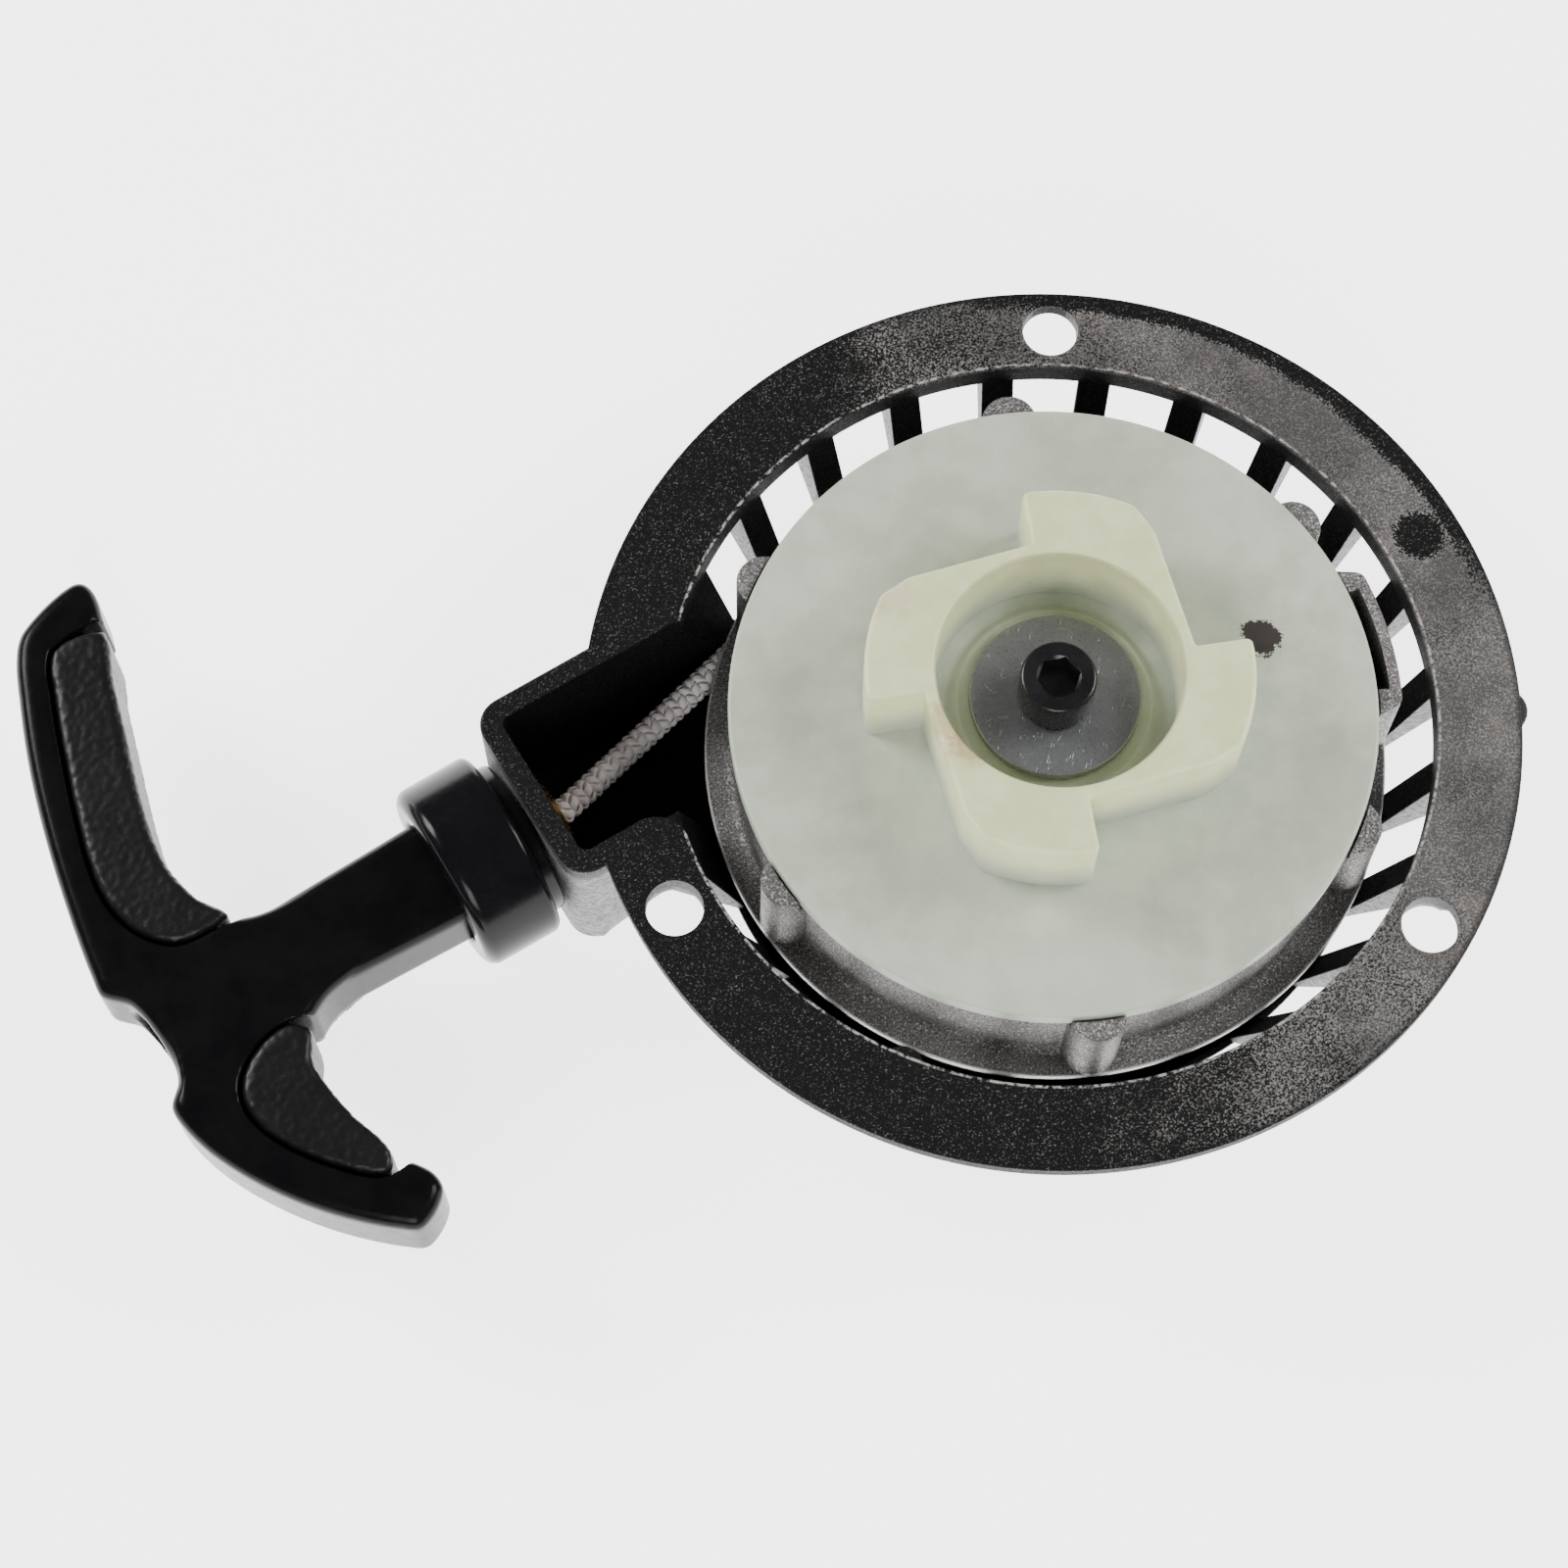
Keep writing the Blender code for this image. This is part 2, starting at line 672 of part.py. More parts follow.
def reel_body():
    """Hub, cup, rope groove and its two rims, turned in one."""
    profile = (
        (CUP_INNER_R, CUP_TOP),
        (CUP_OUTER_R - 0.0008, CUP_TOP),
        (CUP_OUTER_R - 0.0002, CUP_TOP - 0.0010),
        (CUP_OUTER_R, LEDGE_Z + 0.0012),
        (CUP_OUTER_R + 0.0010, LEDGE_Z),
        (LEDGE_R, LEDGE_Z),
        (LEDGE_R, GROOVE_HIGH),
        (GROOVE_CORE_R, GROOVE_HIGH),
        (GROOVE_CORE_R, GROOVE_LOW),
        (LOWER_RIM_R, GROOVE_LOW),
        (LOWER_RIM_R, REEL_FOOT),
        (GROOVE_CORE_R - GROOVE_WALL, REEL_FOOT),
        (GROOVE_CORE_R - GROOVE_WALL, REEL_WEB),
        (REEL_HUB_R, REEL_WEB),
        (REEL_HUB_R, HUB_FOOT),
        (REEL_BORE_R, HUB_FOOT),
        (REEL_BORE_R, REEL_HUB_TOP),
        (REEL_HUB_R, REEL_HUB_TOP),
        (REEL_HUB_R, CUP_FLOOR),
        (CUP_INNER_R, CUP_FLOOR),
    )
    return turned("rope_reel", profile, REEL_STEPS)


def lug(number, angle):
    """A half-round pillar on the cup wall, which stands on the ledge."""
    x, y = polar(LUG_REACH - LUG_R, angle)
    place = Matrix.Translation((x, y, 0))
    return cylinder(f"lug_{number}", LUG_R, LEDGE_Z - OVERLAP / 2, LUG_TOP, 12, place)


def arc_points(radius, middle, half_span, steps=8):
    return [polar(radius, middle + half_span * (2 * k / steps - 1)) for k in range(steps + 1)]


def notch_boss():
    """A thicker stretch of the cup wall, with sloping shoulders."""
    wall_r = CUP_OUTER_R - OVERLAP
    shoulder = NOTCH_HALF_SPAN + NOTCH_SHOULDER
    outline = [polar(wall_r, NOTCH_ANGLE - shoulder)]
    outline += arc_points(NOTCH_REACH, NOTCH_ANGLE, NOTCH_HALF_SPAN)
    outline += [polar(wall_r, NOTCH_ANGLE + shoulder)]
    outline += arc_points(CUP_INNER_R + OVERLAP, NOTCH_ANGLE, NOTCH_HALF_SPAN)[::-1]
    return extruded("notch_boss", outline, LEDGE_Z - OVERLAP / 2, LUG_TOP)


def hook_slot():
    """The slot in the boss that takes the outer end of the assist spring."""
    outline = arc_points(HOOK_SLOT_REACH, NOTCH_ANGLE, HOOK_SLOT_HALF_SPAN)
    outline += arc_points(CUP_INNER_R - OVERLAP, NOTCH_ANGLE, HOOK_SLOT_HALF_SPAN)[::-1]
    return extruded("hook_slot", outline, CUP_FLOOR + GAP, LUG_TOP + BEYOND)


def ring_space(name, radius, low):
    """The room above the reel's web out to a radius, clear of the hub."""
    high = LUG_TOP + BEYOND
    profile = ((radius, high), (radius, low), (CUP_CLEAR_R, low), (CUP_CLEAR_R, high))
    return turned(name, profile, REEL_STEPS)


def build_reel(pivot):
    reel = reel_body()
    for number, angle in enumerate(LUG_ANGLES):
        join(reel, lug(number, angle))
    join(reel, notch_boss())
    turn = Matrix.Rotation(radians(KNOT_ANGLE), 4, "Z") @ Matrix.Rotation(pi / 2, 4, "Y")
    place = Matrix.Translation((0, 0, ROPE_HOLE_Z)) @ turn
    low, high = GROOVE_CORE_R - BEYOND, GROOVE_CORE_R + 3 * OVERLAP
    rope_hole = cylinder("rope_hole", ROPE_HOLE_R, low, high, 12, place)
    cup_space = ring_space("cup_space", CUP_INNER_R, CUP_FLOOR)
    disc_space = ring_space("disc_space", DISC_R + DISC_EDGE, CUP_TOP)
    cut(reel, cup_space, disc_space, hook_slot(), rope_hole)
    finish_part(reel, "cast_aluminium", pivot)


# Rope


def wrap_point(turns):
    """A point of the winding, `turns` before the place where the rope leaves the reel."""
    radius = TANGENT_R - WRAP_PITCH * turns
    x, y = polar(radius, TANGENT_ANGLE - 360 * turns)
    return Vector((x, y, TANGENT_Z + WRAP_RISE * min(1.0, turns)))


def build_winding(pivot):
    per_turn = 24
    count = int(WRAP_TURNS * per_turn)
    points = [wrap_point(k / per_turn) for k in range(count + 1)]
    finish_tube(tube("rope_winding", points, ROPE_R), "rope_braid", pivot)


def line_point(along, side=0.0, up=0.0):
    return LINE_FRAME @ Vector((along, side, up))


def build_rope_span():
    """From the reel through the box and the eyelet, bent a little at the eyelet's mouth."""
    start = wrap_point(0)
    mouth = line_point(EYELET_START - GAP)
    leaving = (mouth - start).normalized()
    first = start + leaving * GAP
    approach = mouth - leaving * 0.0022
    turning = line_point(EYELET_START)
    inside = line_point(EYELET_START + 0.0022)
    points = [first.lerp(approach, k / 9) for k in range(10)]
    for k in range(1, 6):
        t = k / 6
        points.append(approach.lerp(turning, t).lerp(turning.lerp(inside, t), t))
    points += [inside, line_point(EYELET_END - OVERLAP), line_point(EYELET_END + GAP)]
    finish_tube(tube("rope_span", points, ROPE_R), "rope_braid")


def straight_rope(name, start, end, steps):
    points = [line_point(start + (end - start) * k / steps) for k in range(steps + 1)]
    return tube(name, points, ROPE_R)


def build_rope_outside(pivot):
    """The stretch between eyelet and handle, and the tail inside the handle up to its knot."""
    stretch = straight_rope("rope_pulled", EYELET_END + 2 * GAP, STEM_START - GAP, 6)
    finish_tube(stretch, "rope_braid", pivot)
    tail = straight_rope("rope_tail", STEM_START, KNOT_SEAT, 8)
    finish_tube(tail, "rope_braid", pivot)


def knot(name, frame, radius, length):
    """A tight overhand knot, as the barrel that it pulls into."""
    half = length / 2
    heights = [half * cos(pi * k / 6) for k in range(7)]
    profile = [(radius * sqrt(max(0.0, 1 - (h / half) ** 4)), h) for h in heights]
    return turned(name, profile, 12, frame)


def build_knots(reel_pivot, pull_pivot):
    knot_r = GROOVE_CORE_R - GROOVE_WALL - REEL_KNOT_R - GAP
    place = Matrix.Translation((*polar(knot_r, KNOT_ANGLE), KNOT_Z))
    reel_knot = knot("reel_knot", place, REEL_KNOT_R, REEL_KNOT_LENGTH)
    finish_part(reel_knot, "rope_braid", reel_pivot)
    middle = KNOT_SEAT + GAP + HANDLE_KNOT_LENGTH / 2
    frame = TURN_FRAME @ Matrix.Translation((0, 0, middle))
    handle_knot = knot("handle_knot", frame, HANDLE_KNOT_R, HANDLE_KNOT_LENGTH)
    finish_part(handle_knot, "rope_braid", pull_pivot)


def build_knot_washer(pivot):
    low = KNOT_POCKET_START + GAP
    high = low + KNOT_WASHER_THICKNESS
    profile = (
        (KNOT_WASHER_R, high),
        (KNOT_WASHER_R, low),
        (KNOT_WASHER_BORE_R, low),
        (KNOT_WASHER_BORE_R, high),
    )
    finish_part(turned("knot_washer", profile, 20, TURN_FRAME), "washer_steel", pivot)


# Springs


def spiral_strip(name, radius_at, turns, low, high, thickness, per_turn):
    """A flat strip on edge, wound to the radius that `radius_at` gives for each turn."""
    bm = bmesh.new()
    count = int(turns * per_turn)
    rings = []
    for k in range(count + 1):
        turn = k / per_turn
        radius = radius_at(turn)
        direction = Vector((*polar(1, 360 * turn), 0))
        half = thickness / 2
        corners = ((half, high), (half, low), (-half, low), (-half, high))
        rings.append(
            [bm.verts.new(direction * (radius + out) + Vector((0, 0, z))) for out, z in corners]
        )
    for ring, following in zip(rings, rings[1:]):
        for j in range(4):
            bm.faces.new((ring[j], ring[(j + 1) % 4], following[(j + 1) % 4], following[j]))
    bm.faces.new(rings[0])
    bm.faces.new(list(reversed(rings[-1])))
    bmesh.ops.recalc_face_normals(bm, faces=bm.faces)
    return add_mesh(name, bm)


def build_recoil_spring():
    """Most of the strip lies packed against its wall, and the last turns reach in to the hub."""

    def radius_at(turn):
        packed = RECOIL_WALL_INNER_R - 0.0008 - RECOIL_PITCH * turn
        loose = max(0.0, turn - RECOIL_PACKED_TURNS) / (RECOIL_TURNS - RECOIL_PACKED_TURNS)
        return packed - RECOIL_REACH_IN * loose**1.5

    low, high = RECOIL_SPRING_LOW, RECOIL_SPRING_HIGH
    strip = spiral_strip("recoil_spring", radius_at, RECOIL_TURNS, low, high, RECOIL_THICKNESS, 18)
    finish_part(strip, "spring_steel")


def build_assist_spring(pivot):
    """The spring that winds up between reel and drive disc and eases each pull."""

    def radius_at(turn):
        return CUP_INNER_R - 0.0010 - ASSIST_PITCH * turn

    low, high = ASSIST_SPRING_LOW, ASSIST_SPRING_HIGH
    strip = spiral_strip("assist_spring", radius_at, ASSIST_TURNS, low, high, ASSIST_THICKNESS, 20)
    finish_part(strip, "spring_steel", pivot)


# Drive disc


def claw_outline():
    """Four claws like a pinwheel: a radial face, an arc, a round shoulder and a straight back."""
    outline = []
    steps = 5
    for k in range(CLAW_COUNT):
        face = CLAW_ANGLE - 360 * k / CLAW_COUNT
        outline.append(polar(CLAW_ROOT_R, face + 0.5))
        outline.append(polar(CLAW_TIP_R - 0.0008, face))
        outline.append(polar(CLAW_TIP_R - 0.0002, face - 1.2))
        outline += [polar(CLAW_TIP_R, face - 3 - (CLAW_ARC - 3) * j / steps) for j in range(steps + 1)]
        outline.append(polar(CLAW_TIP_R - 0.0006, face - CLAW_ARC - 5))
        outline.append(polar(CLAW_TIP_R - 0.0020, face - CLAW_ARC - 9.5))
    return outline


def build_drive_disc(pivot):
    under = DISC_TOP - DISC_THICKNESS
    profile = (
        (DISC_BORE_R + GAP, SEAT_TOP),
        (SEAT_R, SEAT_TOP),
        (SEAT_FOOT_R, DISC_TOP),
        (DISC_R - DISC_EDGE, DISC_TOP),
        (DISC_R, DISC_TOP - DISC_EDGE),
        (DISC_R, under),
        (DISC_HUB_R, under),
        (DISC_HUB_R, DISC_HUB_FOOT),
        (DISC_BORE_R, DISC_HUB_FOOT),
        (DISC_BORE_R, SEAT_TOP - GAP),
    )
    disc = turned("drive_disc", profile, 48)
    claws = extruded("claws", claw_outline(), DISC_TOP - OVERLAP, CLAW_TOP)
    bore = cylinder("claw_bore", CLAW_BORE_R, DISC_TOP - BEYOND, CLAW_TOP + BEYOND, 32)
    join(disc, cut(claws, bore))
    finish_part(disc, "white_nylon", pivot)


# Eyelet, bumper and handle


def build_eyelet():
    """A brass ferrule whose bell mouth lies on the inner face of the box."""
    seat = BOX_FRONT - BOX_WALL - GAP
    profile = (
        (EYELET_BORE_R, EYELET_END),
        (EYELET_TUBE_R, EYELET_END),
        (EYELET_TUBE_R, seat),
        (EYELET_FLANGE_R, seat),
        (EYELET_FLANGE_R, seat - EYELET_RIM),
        (EYELET_FLANGE_R - 0.0016, EYELET_START),
        (EYELET_BORE_R + 0.0012, EYELET_START),
        (EYELET_BORE_R, EYELET_START + 0.0014),
    )
    finish_part(turned("rope_eyelet", profile, 20, TURN_FRAME), "brass")


def quarter_round(radius, centre_r, centre_z, start, step):
    """Points of a quarter circle in a profile, clockwise from `start` degrees from the Z axis."""
    angles = range(start, start + 91, step)
    return [
        (centre_r + radius * sin(radians(a)), centre_z + radius * cos(radians(a))) for a in angles
    ]


def build_bumper(pivot):
    """A soft ring whose dished face takes the nose of the handle."""
    r = BUMPER_FILLET_R
    foot_r = BUMPER_FOOT_R
    mouth_end = BUMPER_START + BUMPER_MOUTH_DEPTH
    profile = [
        *quarter_round(r, BUMPER_R - r, BUMPER_END - r, 0, 30),
        *quarter_round(foot_r, BUMPER_R - foot_r, BUMPER_COLLAR_END + foot_r, 90, 45),
        (BUMPER_COLLAR_R, BUMPER_COLLAR_END),
        (BUMPER_COLLAR_R - 0.0004, BUMPER_START),
        (BUMPER_MOUTH_R, BUMPER_START),
        (BUMPER_MOUTH_R, mouth_end),
        (BUMPER_BORE_R, mouth_end),
        (BUMPER_BORE_R, BUMPER_DISH_START),
        (BUMPER_DISH_R - 0.0006, BUMPER_DISH_START),
        (BUMPER_DISH_R, BUMPER_END - 0.0004),
    ]
    finish_part(turned("rope_bumper", profile, 28, TURN_FRAME), "bumper_rubber", pivot)


def stem():
    """The stem of the grip, an eight-sided bar that narrows towards the wings."""
    bm = bmesh.new()
    ends = []
    for place, half_width, half_height in zip(STEM_PLACES, STEM_HALF_WIDTHS, STEM_HALF_HEIGHTS):
        flat = half_width - STEM_CHAMFER
        upright = half_height - STEM_CHAMFER
        quarter = ((flat, half_height), (half_width, upright))
        corners = [*quarter, *((y, -z) for y, z in quarter[::-1])]
        corners += [(-y, -z) for y, z in corners]
        ends.append([bm.verts.new((place, y, z)) for y, z in corners])
    for j in range(8):
        bm.faces.new((ends[0][j], ends[0][(j + 1) % 8], ends[1][(j + 1) % 8], ends[1][j]))
    bm.faces.new(ends[0])
    bm.faces.new(ends[1])
    bmesh.ops.recalc_face_normals(bm, faces=bm.faces)
    obj = add_mesh("stem", bm)
    obj.matrix_world = LINE_FRAME
    return obj


def bevel(obj, width, segments):
    modifier = obj.modifiers.new("rounding", "BEVEL")
    modifier.width = width
    modifier.segments = segments
    modifier.limit_method = "ANGLE"
    modifier.angle_limit = radians(50)
    return obj


def web_outline(edge):
    """The inner part of the grip that runs through a pad, behind the pad's skin at its free edge."""
    behind = [(along + PAD_SKIN, side) for along, side in edge]
    first, last = behind[0], behind[-1]
    ends = (first[1] - WEB_PAST_PAD, last[1] + WEB_PAST_PAD)
    front = [(first[0], ends[0]), *behind, (last[0], ends[1])]
    return front + [(WEB_BACK, ends[1]), (WEB_BACK, ends[0])]


def add_pad(grip, name, edge, back, pivot):
    """Cuts a pad's pocket from both faces of the grip and fills it with the pad."""
    before_edge = [(along - 0.004, side) for along, side in edge]
    pocket_outline = offset_outline(before_edge + list(back), GAP)
    pocket = extruded(f"{name}_pocket", pocket_outline, -BEYOND, BEYOND, LINE_FRAME)
    web = web_outline(edge)
    cut(pocket, extruded(f"{name}_web", web, -WEB_HALF_HEIGHT, WEB_HALF_HEIGHT, LINE_FRAME))
    cut(grip, pocket)
    pad = extruded(name, list(edge) + list(back), -PAD_HALF_HEIGHT, PAD_HALF_HEIGHT, LINE_FRAME)
    space_half = WEB_HALF_HEIGHT + GAP
    web_space = extruded(f"{name}_web_space", offset_outline(web, GAP), -space_half, space_half, LINE_FRAME)
    finish_part(cut(pad, web_space), "pad_rubber", pivot)


def build_grip(pivot):
    outline = smooth_outline(GRIP_OUTLINE, 2)
    grip = extruded("handle_grip", outline, -GRIP_HALF_HEIGHT, GRIP_HALF_HEIGHT, LINE_FRAME)
    bevel(grip, 0.0018, 2)
    join(grip, stem())
    add_pad(grip, "grip_pad_long", LONG_PAD_EDGE, LONG_PAD_BACK, pivot)
    add_pad(grip, "grip_pad_short", SHORT_PAD_EDGE, SHORT_PAD_BACK, pivot)
    low, high = STEM_START - BEYOND, KNOT_POCKET_START + OVERLAP
    bore = cylinder("handle_bore", HANDLE_BORE_R, low, high, 16, TURN_FRAME)
    high = KNOT_POCKET_START + 2 * BEYOND
    pocket = cylinder("knot_pocket", KNOT_POCKET_R, KNOT_POCKET_START, high, 20, TURN_FRAME)
    cut(grip, bore, pocket)
    finish_part(grip, "handle_plastic", pivot)


def main():
    global parts, cutters
    clear_scene()
    parts = make_collection("recoil_starter")
    cutters = make_collection("cutters")
    reel_pivot = add_pivot("reel_axis", (0, 0, LEDGE_Z))
    disc_pivot = add_pivot("disc_axis", (0, 0, DISC_TOP))
    pull_pivot = add_pivot("pull_axis", line_point(STEM_START), radians(PULL_ANGLE))
    grip_pivot = add_pivot("grip_axis", line_point(STEM_START), radians(PULL_ANGLE))
    build_housing()
    build_washer()
    build_screw()
    build_recoil_spring()
    build_eyelet()
    build_rope_span()
    build_reel(reel_pivot)
    build_winding(reel_pivot)
    build_assist_spring(reel_pivot)
    build_drive_disc(disc_pivot)
    build_rope_outside(pull_pivot)
    build_knots(reel_pivot, pull_pivot)
    build_knot_washer(pull_pivot)
    build_bumper(pull_pivot)
    build_grip(grip_pivot)


main()
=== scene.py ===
"""Looks of the recoil starter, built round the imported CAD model. Metres, +Z towards the engine side."""

from math import asin, atan2, cos, hypot, pi, radians, sin, tan

import bmesh
import bpy
from mathutils import Matrix, Vector, noise


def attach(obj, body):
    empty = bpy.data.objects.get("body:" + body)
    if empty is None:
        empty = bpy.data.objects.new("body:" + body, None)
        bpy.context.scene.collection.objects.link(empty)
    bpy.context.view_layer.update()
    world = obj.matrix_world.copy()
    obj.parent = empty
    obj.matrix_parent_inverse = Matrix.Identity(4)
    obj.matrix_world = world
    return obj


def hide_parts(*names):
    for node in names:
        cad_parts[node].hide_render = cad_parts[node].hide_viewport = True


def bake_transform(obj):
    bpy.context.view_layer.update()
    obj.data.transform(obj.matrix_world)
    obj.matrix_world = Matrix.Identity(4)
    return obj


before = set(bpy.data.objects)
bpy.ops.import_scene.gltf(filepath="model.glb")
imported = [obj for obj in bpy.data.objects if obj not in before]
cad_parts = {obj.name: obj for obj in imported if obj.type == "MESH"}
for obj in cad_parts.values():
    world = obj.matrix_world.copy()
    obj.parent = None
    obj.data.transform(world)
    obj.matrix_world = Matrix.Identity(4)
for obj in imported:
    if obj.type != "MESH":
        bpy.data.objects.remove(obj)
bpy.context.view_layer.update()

# Sizes repeated from the CAD model
FLANGE_TOP = 0.032
FLANGE_OUTER_R = 0.0622
FLANGE_INNER_R = 0.0510
FLANGE_UNDER = 0.0296
LIP_FOOT = 0.0281
FLOOR_TOP = 0.0025
CONE_FOOT_R = 0.0425
CONE_TOP_R = 0.0577
BOWL_FOOT_R = 0.0436
FOOT_CURVE_R, FOOT_CURVE_TOP = CONE_FOOT_R + 0.0012, 0.0024
FLOOR_CENTRE_R = 0.012
BOLT_CIRCLE_R = 0.05658
BOLT_HOLE_R = 0.0038
FIRST_BOLT_ANGLE = 89.2
RIB_PITCH = 15.0
FIRST_RIB_ANGLE = 7.1
RIB_WIDTH = 0.0044
SLOT_BOTTOM = 0.0065
SLOT_TOP = 0.0279
SLOTLESS_FROM, SLOTLESS_TO = 157.2, 202.0
POST_R = 0.0079
POST_TOP = 0.0364
SCREW_BORE_R = 0.0032
WASHER_R = 0.01127
WASHER_LOW, WASHER_HIGH = 0.0367, 0.0383
SCREW_SEAT, SCREW_TOP = 0.0386, 0.0448
SCREW_HEAD_R = 0.0050
SCREW_SHANK_R = 0.0029
SCREW_END = 0.0216
PULL_ANGLE = 212.0
PULL_OFFSET = 0.0263
PULL_Z = 0.018
ROPE_R = 0.0019
BOX_HALF_WIDTH = 0.0138
BOX_FRONT = 0.0658
BOX_BOTTOM = 0.0042
BOX_WALL = 0.0029
BOX_HALF_INSIDE = BOX_HALF_WIDTH - BOX_WALL
BOX_START = 0.020
BOX_SPACE_START = 0.026
REEL_FOOT = 0.0096
HUB_FOOT = 0.0050
REEL_WEB = 0.0166
GROOVE_LOW, GROOVE_HIGH = 0.0112, 0.0175
LEDGE_Z = 0.0186
LEDGE_R = 0.0462
LOWER_RIM_R = 0.0440
GROOVE_CORE_R = 0.0285
CUP_OUTER_R, CUP_INNER_R = 0.0420, 0.0385
CUP_TOP, CUP_FLOOR = 0.0313, 0.0190
REEL_BORE_R, REEL_HUB_R = 0.0083, 0.0120
REEL_HUB_TOP = 0.0262
LUG_ANGLES = (97.0, 39.0, -22.5, -83.0, -145.0, 155.0)
LUG_REACH, LUG_R, LUG_TOP = 0.0459, 0.0037, 0.0337
NOTCH_ANGLE, NOTCH_REACH = 13.5, 0.0463
TANGENT_R, TANGENT_ANGLE, TANGENT_Z = 0.0416, 138.0, 0.0134
WRAP_PITCH, WRAP_RISE = 0.0041, 0.0006
DISC_R, DISC_TOP, DISC_THICKNESS = 0.04285, 0.03495, 0.0030
DISC_HUB_R, DISC_HUB_FOOT, DISC_BORE_R = 0.0135, 0.0265, 0.0083
CLAW_TOP = 0.0477
CLAW_BORE_R, CLAW_ROOT_R, CLAW_TIP_R = 0.0160, 0.0178, 0.0252
CLAW_ANGLE, CLAW_ARC = 10.5, 34.0
SEAT_TOP = 0.0362
EYELET_START, EYELET_END = 0.0610, 0.0660
EYELET_FLANGE_R, EYELET_TUBE_R, EYELET_BORE_R = 0.0062, 0.0034, 0.0022
BUMPER_START, BUMPER_COLLAR_END, BUMPER_END = 0.0662, 0.0682, 0.0794
BUMPER_R, BUMPER_COLLAR_R, BUMPER_BORE_R = 0.0133, 0.0108, 0.0024
BUMPER_DISH_START, BUMPER_DISH_R = 0.0768, 0.0102
STEM_START = 0.0772
GRIP_HALF_HEIGHT, PAD_HALF_HEIGHT, WEB_HALF_HEIGHT = 0.0070, 0.0075, 0.0040
HANDLE_BORE_R = 0.0022
KNOT_POCKET_R, KNOT_POCKET_START = 0.0050, 0.1140
KNOT_SEAT = 0.1154
PULL_RANGE = 0.5930
MM = 0.001

SIDE = Vector((-sin(radians(PULL_ANGLE)), cos(radians(PULL_ANGLE)), 0))
LINE_START = Vector((0, 0, PULL_Z)) - PULL_OFFSET * SIDE
# Local X runs along the rope line, local Y to its side and local Z up
LINE_FRAME = Matrix.Translation(LINE_START) @ Matrix.Rotation(radians(PULL_ANGLE), 4, "Z")
# Local Z runs along the rope line
TURN_FRAME = LINE_FRAME @ Matrix.Rotation(pi / 2, 4, "Y")


# Outlines


def polar(radius, angle):
    return radius * cos(radians(angle)), radius * sin(radians(angle))


def fillet(corners, steps=5):
    """A closed outline whose corners, each (x, y, radius), are rounded with arcs."""
    points = []
    for i, (x, y, radius) in enumerate(corners):
        here = Vector((x, y))
        before = Vector(corners[i - 1][:2]) - here
        after = Vector(corners[(i + 1) % len(corners)][:2]) - here
        half = before.angle(after) / 2
        if radius == 0 or half > pi / 2 - 0.01:
            points.append((x, y))
            continue
        reach = min(radius / tan(half), before.length * 0.49, after.length * 0.49)
        before.normalize()
        after.normalize()
        centre = here + (before + after).normalized() * (reach / cos(half))
        start = here + before * reach - centre
        end = here + after * reach - centre
        sweep = start.angle(end)
        for k in range(steps + 1):
            part = k / steps
            spoke = start * sin((1 - part) * sweep) + end * sin(part * sweep)
            points.append(tuple(centre + spoke / sin(sweep)))
    return points


def smooth_outline(points, per_span):
    """Points on a closed centripetal Catmull-Rom curve through the given ones."""
    found = []
    count = len(points)
    for i in range(count):
        knots = [Vector(points[(i + j) % count]) for j in (-1, 0, 1, 2)]
        times = [0.0]
        for a, b in zip(knots, knots[1:]):
            times.append(times[-1] + (b - a).length ** 0.5)
        for step in range(per_span):
            t = times[1] + (times[2] - times[1]) * step / per_span
            level = list(knots)
            for depth in (1, 2, 3):
                level = [
                    level[j] * ((times[j + depth] - t) / (times[j + depth] - times[j]))
                    + level[j + 1] * ((t - times[j]) / (times[j + depth] - times[j]))
                    for j in range(4 - depth)
                ]
            found.append(tuple(level[0]))
    return found


def offset_outline(points, distance):
    """The closed outline moved outward by a distance (inward where it is negative)."""
    area = sum(a[0] * b[1] - b[0] * a[1] for a, b in zip(points, points[1:] + points[:1]))
    turn = 1 if area > 0 else -1
    moved = []
    for i, point in enumerate(points):
        here = Vector(point)
        first = (here - Vector(points[i - 1])).normalized()
        second = (Vector(points[(i + 1) % len(points)]) - here).normalized()
        normal_a = Vector((first.y, -first.x)) * turn
        normal_b = Vector((second.y, -second.x)) * turn
        middle = (normal_a + normal_b).normalized()
        moved.append(tuple(here + middle * (distance / max(0.5, middle.dot(normal_a)))))
    return moved


# Meshes


def skin(bm, rings):
    """Joins rings of equally many vertices, one after the other, and closes both ends."""
    count = len(rings[0])
    for ring, following in zip(rings, rings[1:]):
        for k in range(count):
            after = (k + 1) % count
            bm.faces.new((ring[k], ring[after], following[after], following[k]))
    bm.faces.new(rings[0][::-1])
    bm.faces.new(rings[-1])


def lathe(bm, profile, steps, place=Matrix()):
    """Adds a solid turned about Z from a closed profile of (radius, height)."""
    rings = []
    for radius, height in profile:
        if radius < 1e-7:
            rings.append([bm.verts.new(place @ Vector((0, 0, height)))])
            continue
        spokes = [2 * pi * k / steps for k in range(steps)]
        rings.append(
            [bm.verts.new(place @ Vector((radius * cos(a), radius * sin(a), height))) for a in spokes]
        )
    for ring, following in zip(rings, rings[1:] + rings[:1]):
        for k in range(steps):
            corners = [ring[k % len(ring)], ring[(k + 1) % len(ring)]]
            corners += [following[(k + 1) % len(following)], following[k % len(following)]]
            corners = list(dict.fromkeys(corners))
            if len(corners) > 2:
                bm.faces.new(corners)


